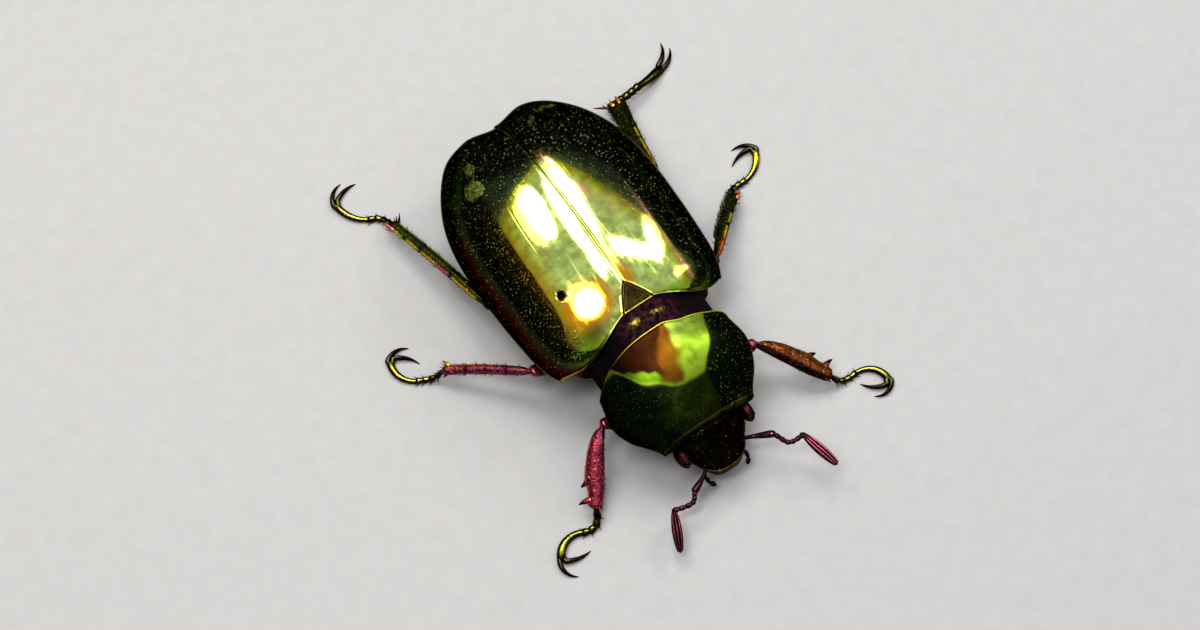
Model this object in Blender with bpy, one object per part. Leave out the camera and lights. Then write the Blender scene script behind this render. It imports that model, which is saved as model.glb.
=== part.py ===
"""A golden jewel scarab standing on a floor, at life size.

The frame is in metres with +Z up and the floor at Z = 0. The head points along -Y, the beetle's left is +X,
and the body's plane of symmetry is X = 0. Every size and place below is in millimetres and is turned into
metres when a mesh is made. The two sides carry the same sizes, and each leg and feeler has its own pose.
"""

import math

import bmesh
import bpy
from mathutils import Vector

MM = 0.001
SEAM = 0.15  # clear gap between two plates or two joints of a limb
SIDES = (("left", 1), ("right", -1))

# Wing cases
CASE_HALF_WIDTH = 7.15
CASE_WIDEST_Y = 3.7
CASE_FRONT_REACH = 8.45
CASE_REAR_REACH = 9.75
CASE_FRONT_POWER = 6.5
CASE_REAR_POWER = 2.5
CASE_SHOULDER_TAPER = 0.5
CASE_BASE_BULGE = 0.75
CASE_RIDGE_Z = 9.35
CASE_BASE_DROP = 0.95
CASE_THICKNESS = 0.55
CASE_SECTION_POWERS = (2.3, 1.9)
RIM_Z_FRONT = 4.8
RIM_Z_REAR = 4.25
BASE_Y = -3.45
APEX_Y = 13.3

# Scutellum, the small shield between the bases of the wing cases
SCUTELLUM_HALF_WIDTH = 1.15
SCUTELLUM_TIP_Y = -1.7
SCUTELLUM_THICKNESS = 0.5

# Neck shield
SHIELD_HALF_WIDTHS = (4.9, 5.2, 4.7, 3.45)  # hind corners, widest, further on, front corners
SHIELD_REAR_Y = -5.1
SHIELD_REAR_SWEEP = 1.15
SHIELD_FRONT_Y = -11.35
SHIELD_FRONT_SWEEP = 0.1
SHIELD_TOP_Z = (8.5, 8.8, 8.05, 6.0)
SHIELD_RIM_Z = (4.9, 4.45, 4.2, 4.15)
SHIELD_SKIRT = 0.35

# Head
HEAD_REAR_HALF_WIDTH = 2.55
HEAD_FRONT_HALF_WIDTH = 1.75
HEAD_REAR_Y = -11.6
HEAD_FRONT_Y = -13.85
HEAD_TOP_Z = (5.45, 2.75)
HEAD_SIDE_Z = (3.7, 2.5)
HEAD_UNDER_Z = (1.9, 2.0)
EYE_CENTRE = (2.5, -11.85, 3.75)
EYE_RADII = (0.62, 0.6, 0.78)

# Trunk under the wing cases
TRUNK_SPLIT_Y = 3.4
TRUNK_REAR_Y = 12.1
TRUNK_INSET = 0.35
BELLY_Z = 1.05
BELLY_POWERS = (1.8, 1.4)
SEGMENT_COUNT = 6
SEGMENT_GROOVE = 0.22
WAIST_HALF_WIDTH = 4.4
WAIST_TOP_Z = 8.35
RUMP_TOP_Z = 4.0
RUMP_SLANT = 1.3

# Leg sizes for the fore, mid and hind pair: hip, coxa centre and radii are for the left side.
PAIRS = {
    "fore": {
        "coxa": (1.7, -7.6, 1.75),
        "coxa_radii": (1.15, 0.8, 0.85),
        "hip": (2.75, -7.7, 1.7),
        "femur": (0.62, 0.46),
        "tibia": (0.36, 0.62, 0.36),
        "teeth": ((0.56, 0.3), (0.76, 0.45), (0.96, 0.6)),
        "tarsus_scale": 1.05,
        "shin_colour": "copper",
    },
    "mid": {
        "coxa": (1.95, -2.2, 1.55),
        "coxa_radii": (1.25, 0.75, 0.8),
        "hip": (3.05, -2.15, 1.5),
        "femur": (0.72, 0.48),
        "tibia": (0.32, 0.46, 0.34),
        "teeth": ((0.42, 0.12), (0.70, 0.16)),
        "tarsus_scale": 1.0,
        "shin_colour": "plum",
    },
    "hind": {
        "coxa": (2.3, 2.7, 1.6),
        "coxa_radii": (1.5, 0.8, 0.75),
        "hip": (3.6, 2.95, 1.5),
        "femur": (0.85, 0.52),
        "tibia": (0.36, 0.60, 0.40),
        "teeth": ((0.45, 0.12), (0.72, 0.16)),
        "tarsus_scale": 1.05,
        "shin_colour": "olive",
    },
}

# Poses: knee and ankle places, the height of the short foot joints off the floor, then headings in degrees
# (0 is +X, turning left as seen from above) of the four short joints, and at the start and end of the long
# last joint and of the outer and inner claw.
POSES = {
    "fore_left": {
        "knee": (5.65, -8.2, 3.55), "ankle": (8.85, -12.0, 1.3), "lift": 0.0,
        "joints": (-48, -22, -2, 2), "last": (4, -92), "outer": (-118, -222), "inner": (-188, -246),
    },
    "fore_right": {
        "knee": (-5.3, -7.2, 3.55), "ankle": (-8.25, -10.75, 1.25), "lift": 0.0,
        "joints": (-112, -137, 188, 163), "last": (150, 240), "outer": (240, 330), "inner": (345, 385),
    },
    "mid_left": {
        "knee": (7.0, -2.1, 3.5), "ankle": (11.0, 1.5, 1.25), "lift": 0.0,
        "joints": (74, 24, 4, 0), "last": (5, 68), "outer": (114, 182), "inner": (170, 212),
    },
    "mid_right": {
        "knee": (-7.0, -1.8, 3.5), "ankle": (-11.1, 2.1, 1.25), "lift": 0.0,
        "joints": (172, 158, 150, 154), "last": (152, 72), "outer": (38, -35), "inner": (-22, -66),
    },
    "hind_left": {
        "knee": (7.2, 4.75, 3.7), "ankle": (8.4, 11.2, 1.3), "lift": 1.0,
        "joints": (-8, 4, 8, 8), "last": (8, 20), "outer": (18, 70), "inner": (42, 95),
    },
    "hind_right": {
        "knee": (-6.85, 3.75, 3.35), "ankle": (-8.4, 12.3, 1.25), "lift": 0.0,
        "joints": (96, 104, 130, 158), "last": (150, 96), "outer": (76, 8), "inner": (34, -6),
    },
}

# Foot: lengths of the four short joints and the last one, with their radii
JOINT_LENGTHS = (0.5, 0.42, 0.43, 0.43)
LAST_LENGTH = 2.25
JOINT_RADIUS = 0.29
LAST_RADII = (0.25, 0.36)
SOLE_DEPTH = 0.22  # height of a foot's centre line, which is under its radius so that the sole is flat
CLAW_LENGTH = 1.75
CLAW_RADII = (0.27, 0.2)
CLAW_BASES = {"outer": (0.22, -0.2), "inner": (0.36, 0.44)}  # ahead of the last joint's end, and inward

# Feelers: scape end, the bend and end of the stalk, and the club's tip
FEELERS = {
    "left": ((2.35, -13.05, 2.6), (3.25, -13.6, 2.9), (3.8, -14.65, 2.9), (4.85, -14.75, 2.9), (5.55, -17.45, 2.5)),
    "right": ((-2.0, -13.4, 2.3), (-2.75, -13.75, 2.3), (-3.35, -14.3, 2.1), (-4.55, -14.0, 1.9), (-5.65, -16.3, 1.3)),
}
STALK_RADIUS = 0.25
SCAPE_RADIUS = 0.32
CLUB_HALF_WIDTH = 0.44
CLUB_HALF_DEPTH = 0.36

COLOURS = {
    "gold": ((0.72, 0.80, 0.12), 0.12, 1.0),
    "green_gold": ((0.45, 0.62, 0.08), 0.16, 1.0),
    "plum": ((0.42, 0.10, 0.16), 0.3, 1.0),
    "copper": ((0.62, 0.24, 0.14), 0.28, 1.0),
    "olive": ((0.30, 0.36, 0.06), 0.25, 1.0),
    "umber": ((0.10, 0.04, 0.05), 0.6, 0.2),
    "eye": ((0.22, 0.05, 0.07), 0.2, 0.3),
}


def finish(name):
    """The material of that name from COLOURS, made once."""
    found = bpy.data.materials.get(name)
    if found:
        return found
    colour, roughness, metallic = COLOURS[name]
    material = bpy.data.materials.new(name)
    material.use_nodes = True
    shader = material.node_tree.nodes["Principled BSDF"]
    shader.inputs["Base Color"].default_value = (*colour, 1.0)
    shader.inputs["Roughness"].default_value = roughness
    shader.inputs["Metallic"].default_value = metallic
    material.diffuse_color = (*colour, 1.0)
    return material


def make_object(name, points, faces, colour):
    """A closed, smooth-shaded object from points in millimetres."""
    mesh = bpy.data.meshes.new(name)
    mesh.from_pydata([tuple(c * MM for c in p) for p in points], [], faces)
    work = bmesh.new()
    work.from_mesh(mesh)
    bmesh.ops.recalc_face_normals(work, faces=work.faces)
    work.to_mesh(mesh)
    work.free()
    mesh.shade_smooth()
    mesh.set_sharp_from_angle(angle=math.radians(40))
    mesh.materials.append(finish(colour))
    made = bpy.data.objects.new(name, mesh)
    bpy.context.scene.collection.objects.link(made)
    return made


def helper(made):
    """Turns an object into a cutter, which is no part of the beetle."""
    made.hide_render = True
    made.display_type = "WIRE"
    return made


def cut(target, cutters):
    """Cuts target by each of the cutters."""
    for cutter in cutters:
        step = target.modifiers.new(cutter.name, "BOOLEAN")
        step.operation = "DIFFERENCE"
        step.object = cutter


def pillow(name, upper, under, colour):
    """A closed solid between two grids of points with the same rows and columns."""
    rows, columns = len(upper), len(upper[0])
    points = [p for row in upper for p in row] + [p for row in under for p in row]
    offset = rows * columns

    def at(i, j, layer=0):
        return layer * offset + i * columns + j

    faces = []
    for i in range(rows - 1):
        for j in range(columns - 1):
            faces.append((at(i, j), at(i, j + 1), at(i + 1, j + 1), at(i + 1, j)))
            faces.append((at(i, j, 1), at(i + 1, j, 1), at(i + 1, j + 1, 1), at(i, j + 1, 1)))
    border = [(0, j) for j in range(columns - 1)] + [(i, columns - 1) for i in range(rows - 1)]
    border += [(rows - 1, j) for j in range(columns - 1, 0, -1)] + [(i, 0) for i in range(rows - 1, 0, -1)]
    for k, here in enumerate(border):
        there = border[(k + 1) % len(border)]
        faces.append((at(*here), at(*here, 1), at(*there, 1), at(*there)))
    return make_object(name, points, faces, colour)


def tube(name, path, sections, colour, side=None, floor=False, ring=8):
    """A closed tube along path. Each section is (half width along side, half depth across it)."""
    path = [Vector(p) for p in path]
    points, faces = [], []
    reference = Vector(side) if side else Vector((0, 0, 1))
    for k, centre in enumerate(path):
        tangent = (path[min(k + 1, len(path) - 1)] - path[max(k - 1, 0)]).normalized()
        across = reference - tangent * reference.dot(tangent)
        if side is None:
            across = tangent.cross(reference)
        across.normalize()
        normal = tangent.cross(across)
        half_width, half_depth = sections[k]
        for n in range(ring):
            angle = 2 * math.pi * (n + 0.5) / ring
            p = centre + across * (half_width * math.cos(angle)) + normal * (half_depth * math.sin(angle))
            if floor:
                p.z = max(p.z, 0.0)
            points.append(p)
    for k in range(len(path) - 1):
        for n in range(ring):
            m = (n + 1) % ring
            faces.append((k * ring + n, k * ring + m, (k + 1) * ring + m, (k + 1) * ring + n))
    faces.append(tuple(range(ring)))
    faces.append(tuple(range((len(path) - 1) * ring, len(path) * ring)))
    return make_object(name, points, faces, colour)


def ellipsoid(name, centre, radii, colour, segments=12, rings=7):
    """A closed ellipsoid."""
    made = bmesh.new()
    bmesh.ops.create_uvsphere(made, u_segments=segments, v_segments=rings, radius=1.0)
    points = [tuple(c + r * q for c, r, q in zip(centre, radii, v.co)) for v in made.verts]
    faces = [tuple(v.index for v in f.verts) for f in made.faces]
    made.free()
    return make_object(name, points, faces, colour)


def along(values, t):
    """A smooth value at t from 0 to 1 through evenly spaced values."""
    last = len(values) - 1
    k = min(int(t * last), last - 1)
    u = t * last - k
    before = values[max(k - 1, 0)]
    after = values[min(k + 2, last)]
    slope_in = (values[k + 1] - before) / 2
    slope_out = (after - values[k]) / 2
    a = 2 * values[k] - 2 * values[k + 1] + slope_in + slope_out
    b = 3 * values[k + 1] - 3 * values[k] - 2 * slope_in - slope_out
    return ((a * u + b) * u + slope_in) * u + values[k]


def vault(x, half_width, powers):
    """Height of an arched cross-section, 1 on the middle line and 0 at the rim."""
    share = min(abs(x) / half_width, 1.0)
    return max(1 - share ** powers[0], 0.0) ** (1 / powers[1])


def case_half_width(y):
    """Half width of the two closed wing cases at y."""
    if y < CASE_WIDEST_Y:
        share = min((CASE_WIDEST_Y - y) / CASE_FRONT_REACH, 1.0)
        round_off = (1 - share ** CASE_FRONT_POWER) ** (1 / CASE_FRONT_POWER)
        return (CASE_HALF_WIDTH - CASE_SHOULDER_TAPER * share ** 1.5) * round_off
    share = min((y - CASE_WIDEST_Y) / CASE_REAR_REACH, 1.0)
    return CASE_HALF_WIDTH * (1 - share ** CASE_REAR_POWER) ** (1 / CASE_REAR_POWER)


def rim_z(y):
    """Height of the wing cases' side rim at y."""
    share = (y - BASE_Y) / (APEX_Y - BASE_Y)
    return RIM_Z_FRONT + (RIM_Z_REAR - RIM_Z_FRONT) * min(max(share, 0.0), 1.0)


def ridge_rise(y):
    """Rise of the wing cases' middle line above the rim at y."""
    full = CASE_RIDGE_Z - rim_z(CASE_WIDEST_Y)
    if y < CASE_WIDEST_Y:
        return full - CASE_BASE_DROP * ((CASE_WIDEST_Y - y) / (CASE_WIDEST_Y - BASE_Y)) ** 2
    share = min((y - CASE_WIDEST_Y) / CASE_REAR_REACH, 1.0)
    return full * (1 - share ** 2.5) ** (1 / 2.1)


def case_height(x, y, inset=0.0):
    """Height of the wing cases at a place, or of a surface that lies inset inside them."""
    half_width = max(case_half_width(y) - inset, 0.05)
    rise = max(ridge_rise(y) - inset, 0.0)
    return rim_z(y) + rise * vault(x, half_width, CASE_SECTION_POWERS)


def case_plan(s, a, side_gap, inset):
    """Plan position in a wing case: s runs from base to tip, a from the suture to the rim."""
    inner_y = BASE_Y + inset + (APEX_Y - BASE_Y - 2 * inset) * s
    beside = (SCUTELLUM_TIP_Y - inner_y) / (SCUTELLUM_TIP_Y - BASE_Y)
    inner_x = side_gap + SCUTELLUM_HALF_WIDTH * max(beside, 0.0) ** 0.8
    turn = math.radians(47) + math.radians(121) * s
    front = turn < math.pi / 2
    power = CASE_FRONT_POWER if front else CASE_REAR_POWER
    reach = CASE_FRONT_REACH if front else CASE_REAR_REACH
    outer_y = CASE_WIDEST_Y - math.copysign(abs(math.cos(turn)) ** (2 / power), math.cos(turn)) * (reach - inset)
    taper = CASE_SHOULDER_TAPER * (max(CASE_WIDEST_Y - outer_y, 0.0) / CASE_FRONT_REACH) ** 1.5
    outer_x = (CASE_HALF_WIDTH - taper - inset) * math.sin(turn) ** (2 / power)
    bulge = CASE_BASE_BULGE * math.sin(math.pi * a ** 1.3) * (1 - s) ** 8
    return inner_x + (outer_x - inner_x) * a, inner_y + (outer_y - inner_y) * a - bulge


def wing_case(name, side):
    """One wing case, a shell that follows the vault from the suture to the side rim."""
    rows, columns = 15, 9
    upper, under = [], []
    for i in range(rows):
        s = i / (rows - 1)
        outer_row, inner_row = [], []
        for j in range(columns):
            a = math.sin(math.pi / 2 * j / (columns - 1))
            x, y = case_plan(s, a, SEAM / 2, 0.0)
            outer_row.append((side * x, y, case_height(x, y)))
            x, y = case_plan(s, a, SEAM / 2, CASE_THICKNESS * a)
            inner_row.append((side * x, y, case_height(x, y, CASE_THICKNESS) - SEAM * a))
        upper.append(outer_row)
        under.append(inner_row)
    return pillow(name, upper, under, "gold")


def scutellum():
    """The small triangle between the bases of the wing cases."""
    rows, columns = 5, 5
    upper, under = [], []
    for i in range(rows):
        s = i / (rows - 1)
        y = BASE_Y + (SCUTELLUM_TIP_Y - 0.25 - BASE_Y) * s
        share = (SCUTELLUM_TIP_Y - y) / (SCUTELLUM_TIP_Y - BASE_Y)
        reach = max(SCUTELLUM_HALF_WIDTH * share ** 0.8 - SEAM, 0.08)
        row = [(reach * (2 * j / (columns - 1) - 1), y) for j in range(columns)]
        upper.append([(x, y, case_height(x, y) - 0.05) for x, y in row])
        under.append([(x, y, case_height(x, y) - SCUTELLUM_THICKNESS) for x, y in row])
    return pillow("scutellum", upper, under, "green_gold")


def shield_rear_y(x):
    """Y of the neck shield's hind edge."""
    return SHIELD_REAR_Y - SHIELD_REAR_SWEEP * abs(x / SHIELD_HALF_WIDTHS[0]) ** 3


def shield_front_y(x):
    """Y of the neck shield's front edge."""
    return SHIELD_FRONT_Y + SHIELD_FRONT_SWEEP * (x / SHIELD_HALF_WIDTHS[-1]) ** 2


def shield_place(s, a):
    """Place on the neck shield: s runs from the hind edge to the front, a from right to left."""
    x = a * along(SHIELD_HALF_WIDTHS, s)
    y = shield_rear_y(x) + (shield_front_y(x) - shield_rear_y(x)) * s
    low = along(SHIELD_RIM_Z, s)
    return x, y, low + (along(SHIELD_TOP_Z, s) - low) * vault(a, 1.0, (2.4, 2.0))


def spread(count):
    """Values from -1 to 1 that lie closer towards the ends."""
    return [math.sin(math.pi / 2 * (2 * j / (count - 1) - 1)) for j in range(count)]


def neck_shield():
    """The domed shield over the first ring of the thorax."""
    rows, across = 10, spread(13)
    upper = [[shield_place(i / (rows - 1), a) for a in across] for i in range(rows)]
    under = []
    for i in range(rows):
        row = [shield_place(i / (rows - 1), a * 0.97) for a in across]
        low = along(SHIELD_RIM_Z, i / (rows - 1)) - SHIELD_SKIRT
        under.append([(x, y, low + 0.25 * vault(a, 1.0, (2, 1))) for (x, y, _), a in zip(row, across)])
    return pillow("pronotum", upper, under, "gold")


def breast():
    """The underside of the first ring of the thorax, which carries the fore legs."""
    rows, across = 7, spread(9)
    upper, under = [], []
    for i in range(rows):
        s = 0.03 + 0.92 * i / (rows - 1)
        reach = 0.86 * along(SHIELD_HALF_WIDTHS, s)
        top = along(SHIELD_RIM_Z, s) - SHIELD_SKIRT - SEAM
        deep = along((1.7, 1.15, 1.5, 2.4), s)
        top_row, low_row = [], []
        for a in across:
            x = a * reach
            y = shield_rear_y(x) + (shield_front_y(x) - shield_rear_y(x)) * s
            top_row.append((x, y, top))
            low_row.append((0.96 * x, y, top - 0.4 - (top - 0.4 - deep) * vault(a, 1.0, BELLY_POWERS)))
        upper.append(top_row)
        under.append(low_row)
    return pillow("prosternum", upper, under, "copper")


def waist():
    """The second ring of the thorax, bare between the neck shield and the wing cases."""
    rows, across = 5, spread(9)
    upper, under = [], []
    for i in range(rows):
        s = i / (rows - 1)
        top_row, low_row = [], []
        for a in across:
            x = a * WAIST_HALF_WIDTH
            front = shield_rear_y(x) + SEAM
            rear = BASE_Y - 0.75 - SEAM
            y = front + (rear - front) * s
            arch = vault(a, 1.0, (2.4, 2.0))
            top_row.append((x, y, 5.1 + (WAIST_TOP_Z - 5.1) * arch))
            low_row.append((0.95 * x, y, 4.5 - (4.5 - 1.5) * vault(a, 1.0, BELLY_POWERS)))
        upper.append(top_row)
        under.append(low_row)
    return pillow("mesothorax", upper, under, "umber")


def trunk_low_z(y):
    """Lowest line of the belly at y."""
    share = max(y - TRUNK_SPLIT_Y, 0.0) / (TRUNK_REAR_Y - TRUNK_SPLIT_Y)
    return BELLY_Z + 1.3 * share ** 2.2


def trunk(name, front_y, rear_y, rows, colour, grooves=0):
    """A length of the trunk, closed above by the wing cases' inner side and below by the belly."""
    across = spread(11)
    upper, under = [], []
    for i in range(rows):
        s = i / (rows - 1)
        y = front_y + (rear_y - front_y) * s
        reach = case_half_width(y) - CASE_THICKNESS - TRUNK_INSET
        inset = CASE_THICKNESS + 2 * SEAM
        edge = rim_z(y) - 0.15
        step = SEGMENT_GROOVE * abs(math.sin(math.pi * grooves * s)) if grooves else 0.0
        low = trunk_low_z(y) - step
        slant = RUMP_SLANT * max(y - TRUNK_SPLIT_Y, 0.0) / (TRUNK_REAR_Y - TRUNK_SPLIT_Y)
        top_row, low_row = [], []
        for a in across:
            x = a * reach
            top_row.append((x, y, case_height(x * 1.02, y, inset) - SEAM))
            low_z = edge - 0.45 - (edge - 0.45 - low) * vault(a, 1.0, BELLY_POWERS)
            low_row.append((0.98 * x, y - slant, low_z))
        upper.append(top_row)
        under.append(low_row)
    return pillow(name, upper, under, colour)


def rump():
    """The last plate of the body, a shield that closes the rear under the wing cases' tips."""
    rows, across = 6, spread(9)
    outer, inner = [], []
    for i in range(rows):
        s = i / (rows - 1)
        outer_row, inner_row = [], []
        for a in across:
            x = a * (3.9 - 2.2 * s ** 1.6)
            bulge = vault(a, 1.0, (2, 2))
            y = TRUNK_REAR_Y + SEAM - RUMP_SLANT * s
            z = RUMP_TOP_Z - 1.75 * s
            outer_row.append((x, y + 0.25 + 0.65 * bulge * math.cos(math.pi / 2 * (s - 0.2)), z))
            inner_row.append((x * 0.95, y, z))
        outer.append(outer_row)
        inner.append(inner_row)
    return pillow("pygidium", outer, inner, "olive")


def head():
    """The head from the neck to the front edge of the clypeus."""
    rows, across = 9, spread(11)
    upper, under = [], []
    for i in range(rows):
        s = i / (rows - 1)
        reach = HEAD_REAR_HALF_WIDTH + (HEAD_FRONT_HALF_WIDTH - HEAD_REAR_HALF_WIDTH) * s
        top = HEAD_TOP_Z[0] + (HEAD_TOP_Z[1] - HEAD_TOP_Z[0]) * s ** 1.15
        edge = HEAD_SIDE_Z[0] + (HEAD_SIDE_Z[1] - HEAD_SIDE_Z[0]) * s
        low = HEAD_UNDER_Z[0] + (HEAD_UNDER_Z[1] - HEAD_UNDER_Z[0]) * s
        top_row, low_row = [], []
        for a in across:
            x = a * reach
            front = HEAD_FRONT_Y + 1.15 * abs(a) ** 3
            y = HEAD_REAR_Y + (front - HEAD_REAR_Y) * s
            top_row.append((x, y, edge + (top - edge) * vault(a, 1.0, (2.2, 1.8))))
            low_row.append((0.94 * x, y, edge - 0.3 - (edge - 0.3 - low) * vault(a, 1.0, (2.0, 1.8))))
        upper.append(top_row)
        under.append(low_row)
    return pillow("head", upper, under, "olive")


def mouth():
    """The lower mouthparts, tucked under the clypeus."""
    return ellipsoid("mouthparts", (0, -12.75, 1.3), (1.1, 0.85, 0.42), "umber", 10, 6)


def palp(name, side):
    """A short jointed feeler beside the mouth."""
    path = [(side * 1.3, -12.75, 1.5), (side * 1.55, -13.15, 1.35), (side * 1.5, -13.6, 1.2), (side * 1.25, -13.9, 1.1)]
    return tube(name, path, [(0.25, 0.25), (0.25, 0.25), (0.27, 0.27), (0.16, 0.16)], "plum", ring=6)


def point_between(a, b, t):
    """The point at share t of the way from a to b."""
    return Vector(a) + (Vector(b) - Vector(a)) * t


def femur_path(pair, pose, side, count=7):
    """Centre line of a thigh, from the hip to the knee."""
    hip = Vector(PAIRS[pair]["hip"])
    hip.x *= side
    knee = Vector(pose["knee"])
    way = (knee - hip).normalized()
    return [point_between(hip + way * SEAM, knee - way * 0.1, k / (count - 1)) for k in range(count)]


def femur_sections(pair, count=7, extra=0.0):
    """Half widths and depths of a thigh, fullest in the middle."""
    wide, deep = PAIRS[pair]["femur"]
    made = []
    for k in range(count):
        swell = 0.55 + 0.45 * math.sin(math.pi * (0.12 + 0.8 * k / (count - 1)))
        made.append((wide * swell + extra, deep * swell + extra))
    return made


def femur(name, pair, pose, side):
    """One thigh."""
    return tube(name, femur_path(pair, pose, side), femur_sections(pair), "plum", side=(0, 1, 0))


def tibia(name, pair, pose, side):
    """One shin, flattened and widening towards the ankle, with teeth along its outer edge."""
    knee, ankle = Vector(pose["knee"]), Vector(pose["ankle"])
    way = (ankle - knee).normalized()
    start = knee + way * 0.32
    outward = Vector((-way.y, way.x, 0)).normalized() * side
    count = 13 if pair == "fore" else 9
    narrow, wide, deep = PAIRS[pair]["tibia"]
    path, sections = [], []
    for k in range(count):
        t = k / (count - 1)
        half = narrow + (wide - narrow) * t ** 0.9
        tooth = sum(size * max(0.0, 1 - abs(t - place) / 0.085) for place, size in PAIRS[pair]["teeth"])
        path.append(point_between(start, ankle, t) + outward * tooth / 2)
        sections.append((half + tooth / 2, deep * (0.75 + 0.25 * math.sin(math.pi * min(t * 1.1, 1)))))
    return tube(name, path, sections, PAIRS[pair]["shin_colour"], side=outward)


def heading(degrees):
    """A level direction, 0 along +X and turning left."""
    return Vector((math.cos(math.radians(degrees)), math.sin(math.radians(degrees)), 0))


def foot_path(pair, pose):
    """Centre line and radii of a foot: four short joints and a long last one that reaches the floor."""
    scale = PAIRS[pair]["tarsus_scale"]
    shin = (Vector(pose["ankle"]) - Vector(pose["knee"])).normalized()
    here = Vector(pose["ankle"]) + shin * (SEAM + 0.08)
    path, sections = [], []
    low = SOLE_DEPTH + pose["lift"]
    fall = here.z - low
    for turn, length, share in zip(pose["joints"], JOINT_LENGTHS, (0.6, 0.9, 1.0, 1.0)):
        target = here + heading(turn) * length * scale
        target.z = low + fall * (1 - share)
        for t, swell in ((0.0, 0.88), (0.6, 1.06)):
            path.append(point_between(here, target, t))
            sections.append((JOINT_RADIUS * swell, JOINT_RADIUS * swell))
        here = target
    steps = 6
    first, last = pose["last"]
    stride = LAST_LENGTH * scale / steps
    for k in range(steps + 1):
        t = k / steps
        radius = LAST_RADII[0] + (LAST_RADII[1] - LAST_RADII[0]) * t ** 0.8
        path.append(here.copy())
        sections.append((radius, radius))
        level = math.sqrt(stride ** 2 - (pose["lift"] / steps) ** 2)
        here = here + heading(first + (last - first) * t) * level
        here.z -= pose["lift"] / steps
    return path, sections


def foot(name, pair, pose):
    """One foot."""
    path, sections = foot_path(pair, pose)
    return tube(name, path, sections, "green_gold", floor=True)


def claw(name, pair, pose, which):
    """One of a foot's two claws, a tapering hook that lies on the floor."""
    path, _ = foot_path(pair, pose)
    face = pose["last"][1]
    first, last = pose[which]
    way = math.copysign(1, pose["outer"][1] - pose["outer"][0])
    ahead, inward = CLAW_BASES[which]
    here = path[-1] + heading(face) * ahead + heading(face + 90 * way) * inward
    steps = 5
    points, sections = [], []
    for k in range(steps + 1):
        t = k / steps
        points.append(here.copy())
        radius = CLAW_RADII[0] + (CLAW_RADII[1] - CLAW_RADII[0]) * t ** 2
        sections.append((radius, radius))
        here = here + heading(first + (last - first) * t) * CLAW_LENGTH / steps
    return tube(name, points, sections, "olive", floor=True, ring=6)


def smooth_path(stops, per_span=4):
    """Points on a smooth curve through the stops."""
    made = []
    spans = len(stops) - 1
    for k in range(spans * per_span + 1):
        t = k / (spans * per_span)
        made.append(Vector([along([s[c] for s in stops], t) for c in range(3)]))
    return made


def feeler_stalk(name, stops):
    """Scape and stalk of a feeler."""
    path = smooth_path(stops[:4], 4)
    sections = []
    for k in range(len(path)):
        radius = SCAPE_RADIUS if k < 4 else STALK_RADIUS * (1.12 if k % 2 else 0.98)
        sections.append((radius, radius))
    return tube(name, path, sections, "plum", ring=6)


def feeler_club(name, stops):
    """The leaf-shaped club at a feeler's end."""
    way = (Vector(stops[4]) - Vector(stops[3])).normalized()
    start = Vector(stops[3]) + way * 0.5
    count = 8
    path = [point_between(start, stops[4], k / (count - 1)) for k in range(count)]
    sections = []
    for k in range(count):
        t = k / (count - 1)
        swell = 0.4 + 0.6 * math.sin(math.pi * (0.12 + 0.8 * t)) ** 0.8
        sections.append((CLUB_HALF_WIDTH * swell, CLUB_HALF_DEPTH * swell))
    return tube(name, path, sections, "plum")


def legs(bodies):
    """All six legs, with clearance for their coxae and thighs cut from the body's underside."""
    for leg, pose in POSES.items():
        pair, word = leg.split("_")
        side = dict(SIDES)[word]
        sizes = PAIRS[pair]
        centre = (sizes["coxa"][0] * side, *sizes["coxa"][1:])
        ellipsoid("coxa_" + leg, centre, sizes["coxa_radii"], "copper", 10, 5)
        wider = [r + SEAM for r in sizes["coxa_radii"]]
        socket = helper(ellipsoid("socket_" + leg, centre, wider, "copper", 10, 5))
        thigh = femur("femur_" + leg, pair, pose, side)
        cut(thigh, [socket])
        groove = tube(
            "groove_" + leg, femur_path(pair, pose, side), femur_sections(pair, extra=SEAM), "plum", side=(0, 1, 0)
        )
        helper(groove)
        for plate in bodies[pair]:
            cut(plate, [socket, groove])
        tibia("tibia_" + leg, pair, pose, side)
        foot("tarsus_" + leg, pair, pose)
        for which in ("outer", "inner"):
            claw("claw_" + which + "_" + leg, pair, pose, which)


def feelers():
    """Both feelers."""
    for word, stops in FEELERS.items():
        feeler_stalk("antenna_stalk_" + word, stops)
        feeler_club("antenna_club_" + word, stops)


def eyes(plates):
    """Both eyes, each in a socket cut into the plates around it."""
    for word, side in SIDES:
        centre = (EYE_CENTRE[0] * side, *EYE_CENTRE[1:])
        ellipsoid("eye_" + word, centre, EYE_RADII, "eye", 12, 7)
        wider = [r + SEAM * 0.7 for r in EYE_RADII]
        orbit = helper(ellipsoid("orbit_" + word, centre, wider, "eye", 12, 7))
        for plate in plates:
            cut(plate, [orbit])


def build():
    """Builds the whole beetle."""
    for old in list(bpy.data.objects):
        bpy.data.objects.remove(old)
    for word, side in SIDES:
        wing_case("elytron_" + word, side)
        palp("palp_" + word, side)
    scutellum()
    shield = neck_shield()
    thorax = trunk("metathorax", BASE_Y - 0.7, TRUNK_SPLIT_Y, 9, "copper")
    belly = trunk("abdomen", TRUNK_SPLIT_Y + SEAM, TRUNK_REAR_Y, 2 * SEGMENT_COUNT + 1, "olive", SEGMENT_COUNT)
    rump()
    waist()
    mouth()
    eyes((head(), shield))
    feelers()
    legs({"fore": (breast(),), "mid": (thorax,), "hind": (thorax, belly)})


build()
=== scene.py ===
"""Looks for a golden jewel scarab at life size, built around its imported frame.

Sizes are in millimetres and turn into metres when a mesh is made. The head points along -Y, the beetle's
left is +X, the floor is Z = 0 and the body's plane of symmetry is X = 0.
"""

from __future__ import annotations

import logging
import math
from dataclasses import dataclass
from enum import Enum
from typing import Sequence

import bpy
import numpy as np
from mathutils import Matrix, Vector


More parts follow.
